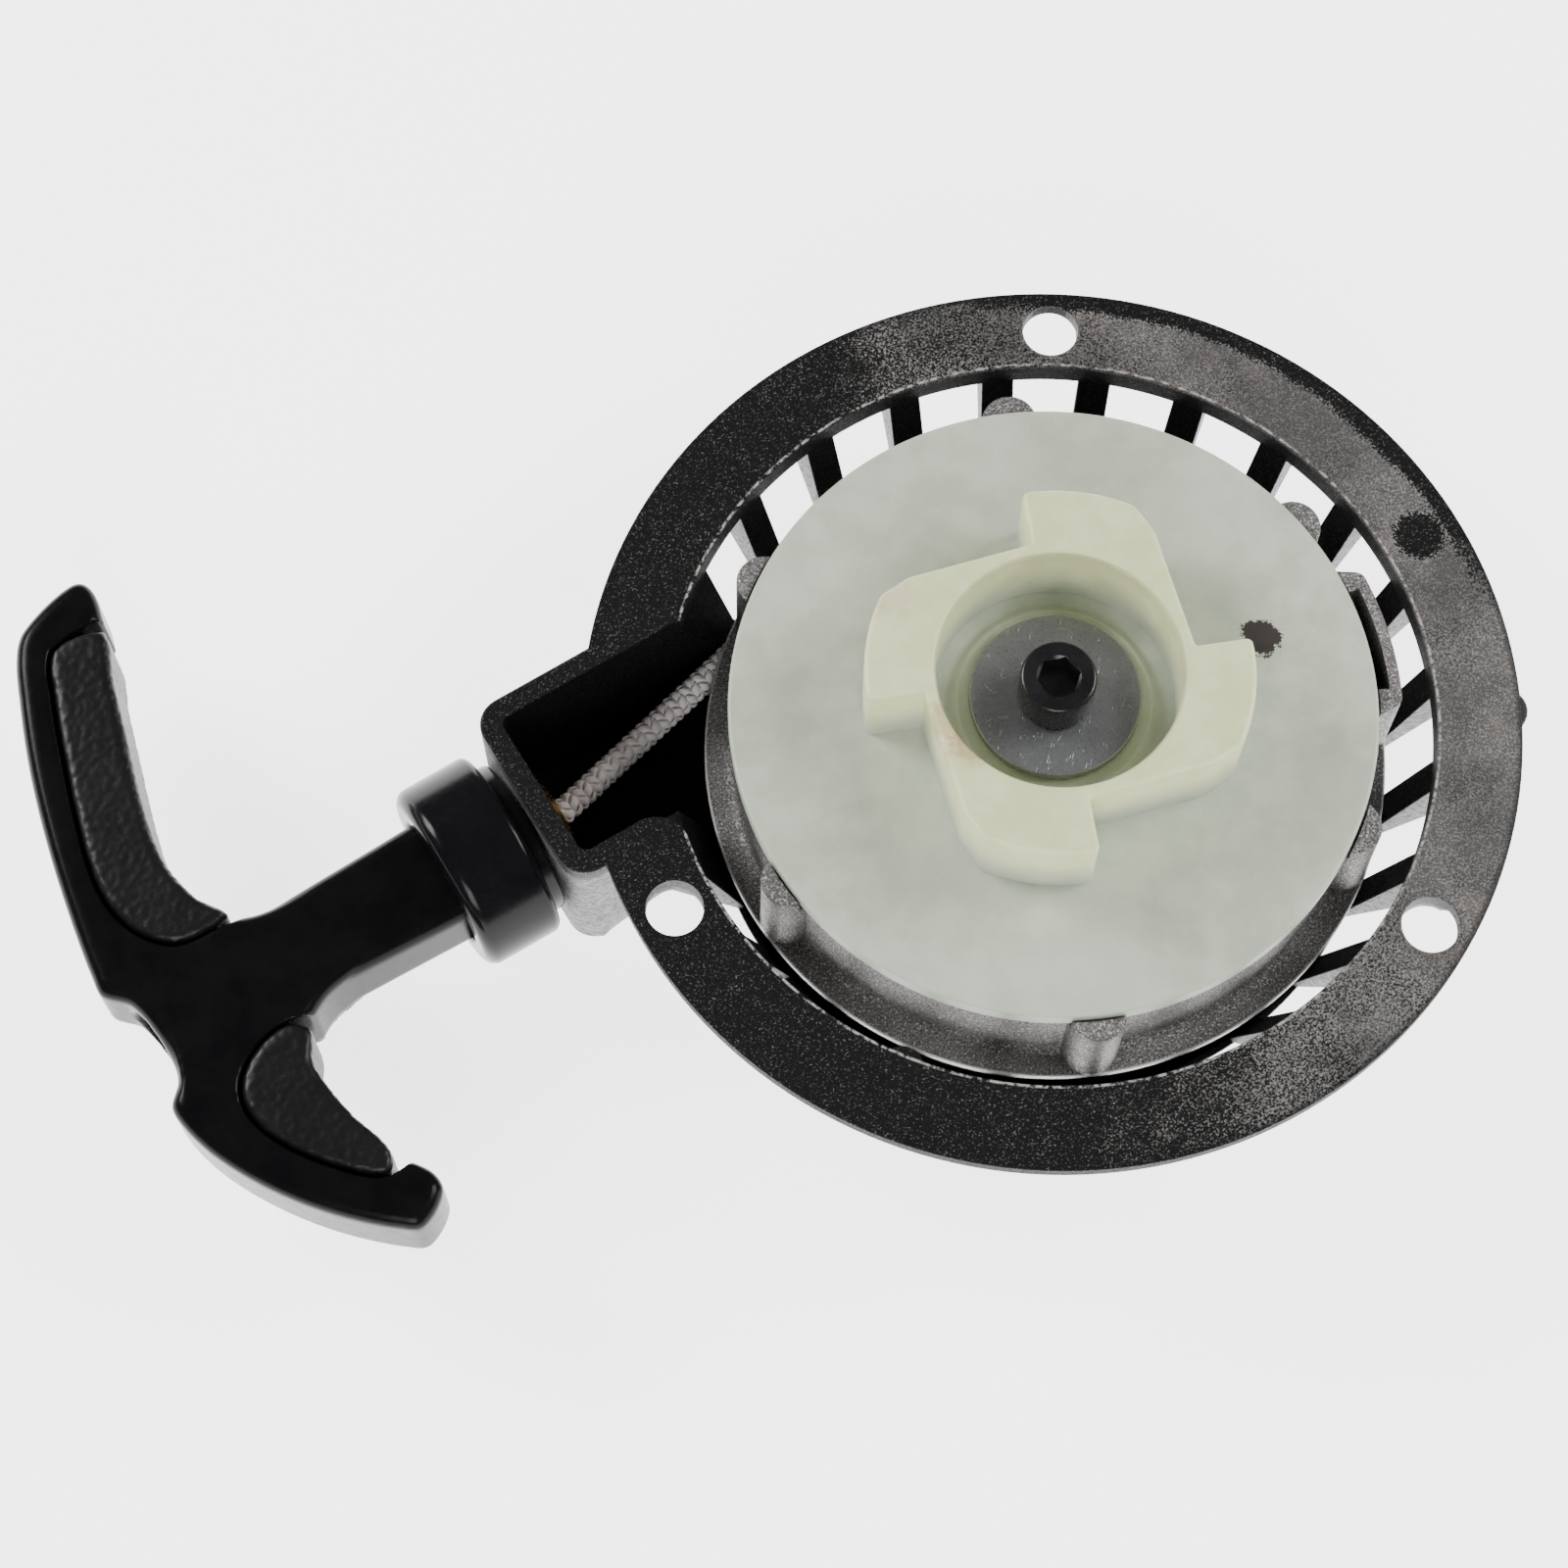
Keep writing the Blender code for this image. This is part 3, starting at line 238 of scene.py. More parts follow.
def upright(radius, angle):
    """Places a turned shape at polar coordinates in plan."""
    return Matrix.Translation((*polar(radius, angle), 0))


def rod(radius, low, high):
    """Profile of a plain cylinder."""
    return [(0, low), (radius, low), (radius, high), (0, high)]


def prism(bm, outline, low, high, edge=0.0, steps=3, place=Matrix()):
    """Adds an upright solid from a closed outline, its top and bottom edges rounded by `edge`."""
    levels = [(0, low), (0, high)]
    if edge:
        angles = [pi / 2 * k / steps for k in range(steps + 1)]
        levels = [(edge * (1 - sin(a)), low + edge * (1 - cos(a))) for a in angles]
        levels += [(inset, low + high - z) for inset, z in levels[::-1]]
    rings = []
    for inset, z in levels:
        level = offset_outline(outline, -inset) if inset else outline
        rings.append([bm.verts.new(place @ Vector((x, y, z))) for x, y in level])
    skin(bm, rings)


def rounded_block(bm, low, high, roundings, place=Matrix()):
    """Makes an empty bmesh a box. Each rounding is (test of an edge, radius, segments)."""
    bmesh.ops.create_cube(bm, size=1)
    bmesh.ops.scale(bm, vec=Vector(high) - Vector(low), verts=bm.verts)
    bmesh.ops.translate(bm, vec=(Vector(high) + Vector(low)) / 2, verts=bm.verts)
    for picks, radius, segments in roundings:
        chosen = [edge for edge in bm.edges if picks(edge)]
        bmesh.ops.bevel(bm, geom=chosen, offset=radius, segments=segments, profile=0.5, affect="EDGES")
    bmesh.ops.transform(bm, matrix=place, verts=bm.verts)


def sharp(edge):
    return len(edge.link_faces) == 2 and edge.calc_face_angle(0) > radians(50)


def placed(name, data):
    """A new object in the scene."""
    obj = bpy.data.objects.new(name, data)
    bpy.context.scene.collection.objects.link(obj)
    return obj


def shape(build, *args, **kwargs):
    """A loose object with the mesh that a build function adds to a bmesh."""
    bm = bmesh.new()
    build(bm, *args, **kwargs)
    bmesh.ops.recalc_face_normals(bm, faces=bm.faces)
    mesh = bpy.data.meshes.new("shape")
    bm.to_mesh(mesh)
    bm.free()
    return placed("shape", mesh)


def modify(obj, kind, **settings):
    modifier = obj.modifiers.new(kind.lower(), kind)
    for name, value in settings.items():
        setattr(modifier, name, value)
    return obj


def baked(obj):
    """The object with its modifiers turned into mesh."""
    evaluated = obj.evaluated_get(bpy.context.evaluated_depsgraph_get())
    mesh = bpy.data.meshes.new_from_object(evaluated)
    obj.modifiers.clear()
    obj.data = mesh
    return obj


def combine(obj, tools, operation):
    for tool in tools:
        modify(obj, "BOOLEAN", operation=operation, object=tool, solver="EXACT")
    baked(obj)
    for tool in tools:
        bpy.data.objects.remove(tool)
    return obj


def piece(obj, name, body, slot, *nodes, smooth=35.0):
    """Names a finished shape, gives it its finish and lets it ride in place of its CAD nodes."""
    obj.name = name
    obj.data.name = name
    obj.data.materials.clear()
    for material in FINISHES[slot]:
        obj.data.materials.append(material)
    obj.data.shade_smooth()
    obj.data.set_sharp_from_angle(angle=radians(smooth))
    modify(obj, "WEIGHTED_NORMAL", keep_sharp=True)
    if body:
        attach(obj, body)
    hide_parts(*nodes)
    return obj


# Materials


class Finish:
    """A procedural material in the making: its nodes read the piece's own coordinates."""

    def __init__(self, name, colour, roughness, metallic=0.0):
        self.name = name
        self.material = bpy.data.materials.new(name)
        self.material.use_nodes = True
        self.tree = self.material.node_tree
        self.shader = self.tree.nodes["Principled BSDF"]
        self.set(Base_Color=colour, Roughness=roughness, Metallic=metallic)
        self.place = self.add("TexCoord").outputs["Object"]

    def feed(self, socket, value):
        if isinstance(value, bpy.types.NodeSocket):
            self.tree.links.new(value, socket)
        elif isinstance(value, tuple) and len(value) == 3 and socket.type == "RGBA":
            socket.default_value = (*value, 1)
        else:
            socket.default_value = value

    def set(self, **values):
        for name, value in values.items():
            self.feed(self.shader.inputs[name.replace("_", " ")], value)

    def add(self, kind, *inputs, settings=None, **named):
        """A node of that kind, fed by its first inputs in order and by named ones."""
        node = self.tree.nodes.new("ShaderNode" + kind)
        for name, value in (settings or {}).items():
            setattr(node, name, value)
        for socket, value in zip(node.inputs, inputs):
            self.feed(socket, value)
        for name, value in named.items():
            self.feed(node.inputs[name], value)
        return node

    def math(self, operation, a, b=0.0):
        return self.add("Math", a, b, settings={"operation": operation}).outputs[0]

    def plus(self, a, b):
        return self.math("ADD", a, b)

    def times(self, a, b):
        return self.math("MULTIPLY", a, b)

    def vector_math(self, operation, *inputs, output="Value"):
        return self.add("VectorMath", *inputs, settings={"operation": operation}).outputs[output]

    def towards(self, x, y):
        """Distance towards a direction in plan, times that direction's length."""
        return self.vector_math("DOT_PRODUCT", self.place, (x, y, 0))

    def height(self):
        return self.add("SeparateXYZ", self.place).outputs["Z"]

    def radius(self):
        """Distance from the Z axis."""
        flat = self.vector_math("MULTIPLY", self.place, (1, 1, 0), output="Vector")
        return self.vector_math("LENGTH", flat)

    def away(self, x, y, z):
        """Distance from a point."""
        return self.vector_math("DISTANCE", self.place, (x, y, z))

    def stretched(self, turn, stretch):
        settings = {"vector_type": "TEXTURE"}
        return self.add("Mapping", self.place, settings=settings, Rotation=turn, Scale=stretch).outputs[0]

    def noise(self, size, detail=2.0, rough=0.5, vector=None, distort=0.0):
        """Noise from 0 to 1 whose features are about `size` across, in metres."""
        node = self.add(
            "TexNoise", Vector=vector or self.place, Scale=1 / size, Detail=detail, Roughness=rough,
            Distortion=distort,
        )
        return node.outputs[0]

    def cells(self, size):
        """Distance to the nearest of points strewn about `size` apart, from 0 to about 1."""
        return self.add("TexVoronoi", Vector=self.place, Scale=1 / size).outputs["Distance"]

    def ramp(self, value, low, high, start=0.0, end=1.0):
        """Goes smoothly from start to end as value goes from low to high."""
        settings = {"interpolation_type": "SMOOTHSTEP"}
        return self.add("MapRange", value, low, high, start, end, settings=settings).outputs[0]

    def mix(self, factor, a, b):
        node = self.add("Mix", settings={"data_type": "RGBA"})
        for index, value in ((0, factor), (6, a), (7, b)):
            self.feed(node.inputs[index], value)
        return node.outputs[2]

    def bump(self, height, distance):
        """Bumps of that height in metres, on top of any set before."""
        node = self.add("Bump", Height=height, Distance=distance)
        normal = self.shader.inputs["Normal"]
        if normal.is_linked:
            self.feed(node.inputs["Normal"], normal.links[0].from_socket)
        self.feed(normal, node.outputs[0])


def painted_finish():
    """Black paint over the casting, worn through to the aluminium on parts of the flange; the light grey
    towards +X is a painted reflection of a lamp.
    """
    paint = Finish("housing_black", (0.01, 0.01, 0.01), 0.5, 0.25)
    grain = paint.noise(0.28 * MM, 3, 0.65)
    patches = paint.noise(9 * MM, 3, 0.6)
    radius, height = paint.radius(), paint.height()
    top = paint.ramp(height, FLANGE_TOP - 0.9 * MM, FLANGE_TOP - 0.2 * MM)
    # The paint is thinner in patches and towards +X, where the light grey is a painted reflection of a lamp;
    # not along the rim there, nor in one round mark
    thin_and_reflection = paint.plus(
        paint.ramp(paint.towards(14.5, 6.0), -0.55, 0.75), paint.ramp(patches, 0.3, 0.7, -0.14, 0.14)
    )
    rim_side = paint.ramp(paint.towards(9.0, 14.0), 0.70, 0.93)
    rim = paint.ramp(paint.plus(radius, paint.ramp(patches, 0, 1, -0.0012, 0.0012)), 0.0588, 0.0606)
    thin_and_reflection = paint.math("SUBTRACT", thin_and_reflection, paint.times(rim, rim_side))
    ragged = paint.ramp(grain, 0.3, 0.7, -0.4 * MM, 0.4 * MM)
    mark = paint.plus(paint.away(0.0500, 0.0261, FLANGE_TOP), ragged)
    thin_and_reflection = paint.times(thin_and_reflection, paint.ramp(mark, 3.0 * MM, 3.8 * MM))
    # Where the aluminium shows through: worn in places, and towards +X a painted lamp reflection
    bare_and_reflection = paint.ramp(paint.plus(thin_and_reflection, paint.ramp(grain, 0.35, 0.65, -0.35, 0.35)), 0.35, 0.75)
    bare_and_reflection = paint.times(bare_and_reflection, top)
    fleck = paint.times(paint.ramp(grain, 0.57, 0.70), paint.ramp(top, 0, 1, 0.25, 1.0))
    black = paint.mix(fleck, (0.0035, 0.0035, 0.0035), (0.13, 0.127, 0.122))
    warmth = paint.ramp(paint.noise(4 * MM, 4, 0.6), 0.45, 0.7)
    # Aluminium tones, also used for the painted lamp reflection towards +X
    metal_and_reflection = paint.mix(warmth, (0.10, 0.098, 0.096), (0.135, 0.118, 0.11))
    metal_and_reflection = paint.mix(paint.ramp(grain, 0.44, 0.78), metal_and_reflection, (0.36, 0.345, 0.335))
    stains = paint.ramp(paint.noise(14 * MM, 3), 0.4, 0.65, 0.45, 0)
    metal_and_reflection = paint.mix(stains, metal_and_reflection, (0.03, 0.03, 0.03))
    outer_edge = paint.ramp(radius, FLANGE_OUTER_R - 1.2 * MM, FLANGE_OUTER_R, 0, 0.8)
    metal_and_reflection = paint.mix(outer_edge, metal_and_reflection, (0.02, 0.02, 0.02))
    colour = paint.mix(bare_and_reflection, black, metal_and_reflection)
    rust = paint.times(paint.ramp(paint.noise(2.2 * MM, 4, 0.7), 0.72, 0.78), top)
    colour = paint.mix(paint.times(rust, 0.5), colour, (0.16, 0.055, 0.03))
    from_lip = paint.math("ABSOLUTE", paint.math("SUBTRACT", radius, FLANGE_INNER_R + 0.25 * MM))
    worn_line = paint.times(
        paint.ramp(from_lip, 0.08 * MM, 0.26 * MM, 1, 0), paint.ramp(paint.noise(0.9 * MM, 3, 0.6), 0.42, 0.6)
    )
    worn_line = paint.times(worn_line, paint.ramp(height, FLANGE_TOP - 1.2 * MM, FLANGE_TOP - 0.5 * MM))
    colour = paint.mix(paint.times(worn_line, 0.8), colour, (0.50, 0.49, 0.47))
    paint.set(
        Base_Color=colour, Roughness=paint.ramp(grain, 0.3, 0.7, 0.62, 0.40),
        Metallic=paint.ramp(bare_and_reflection, 0, 1, 0.0, 0.5), Specular_IOR_Level=0.12,
    )
    paint.bump(grain, 0.2 * MM)
    paint.bump(paint.noise(1.6 * MM, 3), 0.10 * MM)
    return paint


def outside_finish():
    """The housing's outside in light grey, partly uncovered aluminium and partly a painted reflection of the
    bright floor on black paint, with some paint just under the flange.
    """
    outside = Finish("housing_outside_and_reflection", (0.4, 0.4, 0.4), 0.5, 0.55)
    grain = outside.noise(0.35 * MM, 3, 0.6)
    waves = outside.noise(1.1 * MM, 3, 0.6, outside.stretched((0, 0, 0), (1, 1, 0.31)), 0.5)
    colour = outside.mix(outside.ramp(waves, 0.42, 0.58), (0.10, 0.10, 0.10), (0.27, 0.27, 0.275))
    colour = outside.mix(outside.ramp(grain, 0.5, 0.75, 0, 0.5), colour, (0.45, 0.45, 0.45))
    overspray = outside.ramp(outside.height(), FLANGE_UNDER - 1.5 * MM, FLANGE_UNDER, 0, 0.85)
    colour = outside.mix(overspray, colour, (0.02, 0.02, 0.02))
    outside.set(Base_Color=colour, Roughness=outside.ramp(grain, 0.3, 0.7, 0.6, 0.4))
    outside.bump(waves, 0.45 * MM)
    outside.bump(grain, 0.08 * MM)
    return outside


def cast_finish():
    cast = Finish("cast_aluminium", (0.35, 0.33, 0.32), 0.45, 0.8)
    grain = cast.noise(0.30 * MM, 3, 0.7)
    patches = cast.noise(5 * MM, 3, 0.6)
    colour = cast.mix(cast.ramp(patches, 0.35, 0.7), (0.15, 0.14, 0.137), (0.22, 0.21, 0.205))
    colour = cast.mix(cast.ramp(grain, 0.36, 0.5, 0.75, 0), colour, (0.045, 0.042, 0.042))
    colour = cast.mix(cast.ramp(grain, 0.55, 0.66), colour, (0.62, 0.61, 0.59))
    height = cast.height()
    # A painted highlight: a bright line along the ledge's outer edge
    ledge_edge_highlight = cast.times(
        cast.ramp(cast.radius(), LEDGE_R - 0.45 * MM, LEDGE_R - 0.1 * MM),
        cast.ramp(height, LEDGE_Z - 0.6 * MM, LEDGE_Z - 0.2 * MM),
    )
    ledge_edge_highlight = cast.times(ledge_edge_highlight, cast.ramp(height, LEDGE_Z + 0.2 * MM, LEDGE_Z + 0.4 * MM, 1, 0))
    colour = cast.mix(cast.times(ledge_edge_highlight, 0.75), colour, (0.75, 0.74, 0.72))
    cast.set(Base_Color=colour, Roughness=cast.ramp(grain, 0.35, 0.7, 0.58, 0.34))
    cast.bump(grain, 0.2 * MM)
    return cast


def nylon_finish():
    """Greenish white on the disc, yellower on the claws, with rust stains and one dark spot, the painted
    shade of a small hole with the dark spring under it.
    """
    nylon = Finish("white_nylon", (0.6, 0.63, 0.55), 0.42)
    nylon.set(Subsurface_Weight=0.12, Subsurface_Scale=0.002, Subsurface_Radius=(1.0, 1.0, 0.8), IOR=1.53)
    mottle = nylon.noise(4.5 * MM, 5, 0.62)
    disc = nylon.mix(nylon.ramp(mottle, 0.35, 0.68), (0.46, 0.505, 0.405), (0.545, 0.585, 0.475))
    disc = nylon.mix(nylon.ramp(nylon.noise(22 * MM), 0.3, 0.75, 0, 0.5), disc, (0.57, 0.605, 0.51))
    flecks = nylon.ramp(nylon.cells(2.3 * MM), 0.07, 0.12, 0.35, 0)
    disc = nylon.mix(flecks, disc, (0.66, 0.685, 0.60))
    claw = nylon.mix(nylon.ramp(mottle, 0.3, 0.7), (0.70, 0.74, 0.40), (0.80, 0.83, 0.50))
    colour = nylon.mix(nylon.ramp(nylon.height(), DISC_TOP + 0.5 * MM, DISC_TOP + 9 * MM), disc, claw)
    stains = (
        (-0.0140, -0.0072, 4.8 * MM, (0.42, 0.20, 0.07), 0.45, 1.5 * MM),
        (-0.0120, -0.0108, 3.6 * MM, (0.36, 0.16, 0.06), 0.5, 1.2 * MM),
        (-0.0225, 0.0105, 5.0 * MM, (0.62, 0.45, 0.36), 0.4, 1.2 * MM),
    )
    for x, y, reach, tint, strength, ragged in stains:
        wobble = nylon.ramp(nylon.noise(2.2 * MM, 5, 0.7), 0.25, 0.75, -ragged, ragged)
        edge = nylon.plus(nylon.away(x, y, CLAW_TOP), wobble)
        colour = nylon.mix(nylon.ramp(edge, reach * 0.3, reach, strength, 0), colour, tint)
    # Painted shade of a small hole through the disc, with the dark spring seen through it
    ragged = nylon.ramp(nylon.noise(1.1 * MM, 5, 0.75), 0.2, 0.8, -0.9 * MM, 0.9 * MM)
    spot = nylon.plus(nylon.away(0.0276, 0.0098, DISC_TOP), ragged)
    colour = nylon.mix(nylon.ramp(spot, 2.55 * MM, 2.7 * MM, 0.97, 0), colour, (0.020, 0.011, 0.012))
    nylon.set(Base_Color=colour, Roughness=nylon.ramp(mottle, 0.3, 0.7, 0.36, 0.5))
    nylon.bump(nylon.noise(0.5 * MM, 3), 0.02 * MM)
    nylon.bump(nylon.noise(7 * MM), 0.12 * MM)
    return nylon


def steel_finish():
    """Bright steel with fine scratches in four directions, here and there."""
    steel = Finish("washer_steel", (0.4, 0.41, 0.44), 0.33, 1.0)
    colour = steel.mix(steel.noise(3 * MM, 4, 0.6), (0.27, 0.275, 0.285), (0.37, 0.375, 0.385))
    grit = steel.noise(0.3 * MM, 3, 0.7)
    colour = steel.mix(steel.ramp(grit, 0.3, 0.48, 0.6, 0), colour, (0.14, 0.14, 0.15))
    lines = 0.0
    for number, turn in enumerate((0.5, 1.35, 2.2, 2.9)):
        streak = steel.stretched((0, 0, turn), (9.0, 0.6, 1.0))
        line = steel.ramp(steel.noise((0.22 + 0.05 * number) * MM, 2, 0.5, streak), 0.66, 0.74)
        lines = steel.math("MAXIMUM", lines, line)
    lines = steel.times(lines, steel.ramp(steel.noise(2.4 * MM), 0.42, 0.6))
    colour = steel.mix(steel.times(lines, 0.75), colour, (0.55, 0.56, 0.58))
    steel.set(Base_Color=colour, Roughness=steel.ramp(lines, 0, 1, 0.42, 0.22))
    steel.bump(steel.math("SUBTRACT", steel.noise(0.35 * MM, 3), lines), 0.015 * MM)
    return steel


def plain_finish(name, colours, roughness, metallic, grain, height, **settings):
    """Two close colours in patches, a roughness range and a fine grain."""
    plain = Finish(name, colours[0], roughness[0], metallic)
    patches = plain.ramp(plain.noise(6 * MM, 4, 0.6), 0.3, 0.7)
    fine = plain.noise(grain, 3, 0.6)
    plain.set(
        Base_Color=plain.mix(patches, *colours), Roughness=plain.ramp(fine, 0.3, 0.7, *roughness), **settings
    )
    plain.bump(fine, height)
    return plain


FINISHES = {
    finish.name: [finish.material]
    for finish in (
        painted_finish(), cast_finish(), nylon_finish(), steel_finish(),
        plain_finish(
            "black_oxide", ((0.008, 0.008, 0.009), (0.018, 0.018, 0.02)), (0.22, 0.34), 0.4,
            0.3 * MM, 0.01 * MM,
        ),
        plain_finish(
            "brass", ((0.62, 0.36, 0.10), (0.72, 0.46, 0.17)), (0.2, 0.34), 1.0, 0.4 * MM, 0.01 * MM
        ),
        plain_finish(
            "spring_steel", ((0.16, 0.165, 0.18), (0.30, 0.30, 0.32)), (0.28, 0.42), 1.0,
            0.3 * MM, 0.02 * MM,
        ),
        plain_finish(
            "rope_braid", ((0.56, 0.51, 0.49), (0.74, 0.70, 0.68)), (0.75, 0.6), 0.0, 0.12 * MM, 0.05 * MM,
            Sheen_Weight=0.25, Sheen_Roughness=0.4,
        ),
        plain_finish(
            "handle_plastic", ((0.003, 0.003, 0.0035), (0.005, 0.005, 0.0055)), (0.20, 0.27), 0.0,
            1.3 * MM, 0.004 * MM, Specular_IOR_Level=0.09,
        ),
        plain_finish(
            "pad_rubber", ((0.004, 0.004, 0.0045), (0.007, 0.007, 0.0075)), (0.42, 0.34), 0.0,
            0.25 * MM, 0.02 * MM, Specular_IOR_Level=0.25,
        ),
        plain_finish(
            "bumper_rubber", ((0.003, 0.003, 0.004), (0.005, 0.005, 0.006)), (0.17, 0.24), 0.0,
            0.8 * MM, 0.003 * MM, Specular_IOR_Level=0.17,
        ),
    )
}
FINISHES["housing_black"].append(outside_finish().material)


# Housing


def outer_wall_r(height):
    rise = (height - FOOT_CURVE_TOP) / (FLANGE_UNDER - FOOT_CURVE_TOP)
    return FOOT_CURVE_R + (CONE_TOP_R - FOOT_CURVE_R) * rise


def inner_wall_r(height):
    rise = (height - FLOOR_TOP) / (LIP_FOOT - FLOOR_TOP)
    return BOWL_FOOT_R + (FLANGE_INNER_R - BOWL_FOOT_R) * rise


def housing_shell(bm):
    """Flange, lip, ribbed wall and floor as one closed cage with openings between the ribs."""
    levels = 8
    heights = [SLOT_BOTTOM + (SLOT_TOP - SLOT_BOTTOM) * k / levels for k in range(levels + 1)]
    outer = [(outer_wall_r(z), z) for z in heights]
    inner = [(inner_wall_r(z), z) for z in heights]
    below = [
        (FLOOR_CENTRE_R, 0), (0.030, 0), (CONE_FOOT_R - 1.6 * MM, 0), (CONE_FOOT_R - 0.6 * MM, 0.15 * MM),
        (CONE_FOOT_R + 0.2 * MM, 0.7 * MM), (CONE_FOOT_R + 0.8 * MM, 1.4 * MM),
        (FOOT_CURVE_R, FOOT_CURVE_TOP),
    ]
    above = [(CONE_TOP_R, FLANGE_UNDER), (0.0600, FLANGE_UNDER), (FLANGE_OUTER_R, FLANGE_UNDER)]
    above += [(r, FLANGE_TOP) for r in (FLANGE_OUTER_R, 0.0592, 0.0562, 0.0535, FLANGE_INNER_R)]
    above += [(FLANGE_INNER_R, LIP_FOOT)]
    corner, cut = 2 * MM, 0.5 * MM
    floor = [(inner_wall_r(FLOOR_TOP + corner), FLOOR_TOP + corner), (BOWL_FOOT_R - cut, FLOOR_TOP + cut)]
    floor += [(r, FLOOR_TOP) for r in (BOWL_FOOT_R - corner, 0.030, FLOOR_CENTRE_R)]
    profile = below + outer + above + inner[::-1] + floor
    per_rib, per_slot = 2, 5
    columns = []
    for k in range(int(360 / RIB_PITCH)):
        rib = FIRST_RIB_ANGLE + RIB_PITCH * k
        slotless = SLOTLESS_FROM < (rib + RIB_PITCH / 2) % 360 < SLOTLESS_TO
        columns += [(rib, j / per_rib * 2 - 1, 0.0, True) for j in range(per_rib)]
        columns += [(rib, 1.0, j / per_slot, slotless) for j in range(per_slot)]

    def spoke(radius, column):
        """Angle of a column at a radius: ribs keep an even width, slots share what is left."""
        rib, across, along_slot, _ = column
        half = asin(RIB_WIDTH / 2 / radius)
        return radians(rib) + half * across + (radians(RIB_PITCH) - 2 * half) * along_slot

    rings = []
    for radius, height in profile:
        angles = [spoke(radius, column) for column in columns]
        rings.append([bm.verts.new((radius * cos(a), radius * sin(a), height)) for a in angles])
    count = len(columns)

    def quad(a, b, c, d):
        bm.faces.new((a, b, c, d))

    out_low, out_high = len(below), len(below) + levels
    in_high = out_high + 1 + len(above)
    in_low = in_high + levels
    for i, (ring, following) in enumerate(zip(rings, rings[1:])):
        open_band = out_low <= i < out_high or in_high <= i < in_low
        for k in range(count):
            if open_band and not columns[k][3]:
                continue
            quad(ring[k], ring[(k + 1) % count], following[(k + 1) % count], following[k])
    bm.faces.new(rings[0][::-1])
    bm.faces.new(rings[-1])
    for k in range(count):
        after = (k + 1) % count
        if not columns[k][3]:
            quad(rings[out_low][k], rings[out_low][after], rings[in_low][after], rings[in_low][k])
            quad(rings[out_high][k], rings[out_high][after], rings[in_high][after], rings[in_high][k])
        if columns[k][3] != columns[k - 1][3]:
            for j in range(levels):
                out, within = rings[out_low + j], rings[in_low - j]
                quad(out[k], rings[out_low + j + 1][k], rings[in_low - j - 1][k], within[k])


def box_block(bm, start, end, half, bottom, top, front_r, keel_r, more=()):
    """A block along the rope line, rounded in plan at its front, and along its keel: (radius, segments)."""

    def front(edge):
        a, b = (vert.co for vert in edge.verts)
        return abs(a.z - b.z) > 0.01 and a.x > end - MM

    def keel(edge):
        a, b = (vert.co for vert in edge.verts)
        return max(a.z, b.z) < bottom + 0.3 * MM and abs(a.x - b.x) > 0.01

    roundings = ((front, *front_r), (keel, *keel_r), *more)
    rounded_block(bm, (start, -half, bottom), (end, half, top), roundings, LINE_FRAME)


def box_body(bm):
    """Outer form of the rope box."""
    bottom, top = BOX_BOTTOM - PULL_Z, FLANGE_TOP - 0.02 * MM - PULL_Z
    more = ((sharp, 0.5 * MM, 3),)
    box_block(bm, BOX_START, BOX_FRONT, BOX_HALF_WIDTH, bottom, top, (3.8 * MM, 8), (9.5 * MM, 12), more)


def box_space(bm):
    """The hollow of the rope box, open to the bowl and at the top."""
    bottom, top = BOX_BOTTOM + BOX_WALL - PULL_Z, FLANGE_TOP - PULL_Z + 0.01
    end = BOX_FRONT - BOX_WALL
    box_block(bm, BOX_SPACE_START, end, BOX_HALF_INSIDE, bottom, top, (1.3 * MM, 5), (6.6 * MM, 10))


def bowl_space(bm):
    """The inside of the bowl, which the rope box's own solid leaves free."""
    radius = FLANGE_INNER_R + 0.7 * MM
    profile = [
        (0, FLOOR_TOP - MM), (BOWL_FOOT_R, FLOOR_TOP - MM), (radius, LIP_FOOT),
        (radius, FLANGE_TOP + 0.01), (0, FLANGE_TOP + 0.01),
    ]
    lathe(bm, profile, 96)


def bolt_hole(bm, number):
    """A drilled hole with a small break at the flange's upper edge."""
    low, high, flare = 0.018, FLANGE_TOP + 5 * MM, 0.25 * MM
    wide = BOLT_HOLE_R + 2 * flare
    profile = [
        (0, low), (BOLT_HOLE_R, low), (BOLT_HOLE_R, FLANGE_TOP - flare), (wide, FLANGE_TOP + flare),
        (wide, high), (0, high),
    ]
    lathe(bm, profile, 48, upright(BOLT_CIRCLE_R, FIRST_BOLT_ANGLE - number * 120))


def ejector_marks(bm):
    """Shallow round ejector-pin marks left proud on the flange."""
    radius = 2.9 * MM
    profile = [
        (0, FLANGE_TOP - 0.5 * MM), (radius, FLANGE_TOP - 0.5 * MM), (radius, FLANGE_TOP + 0.05 * MM),
        (radius - 0.2 * MM, FLANGE_TOP + 0.12 * MM), (0, FLANGE_TOP + 0.02 * MM),
    ]
    for x, y in ((-0.0329, 0.0460), (-0.0200, -0.0489)):
        lathe(bm, profile, 40, Matrix.Translation((x, y, 0)))


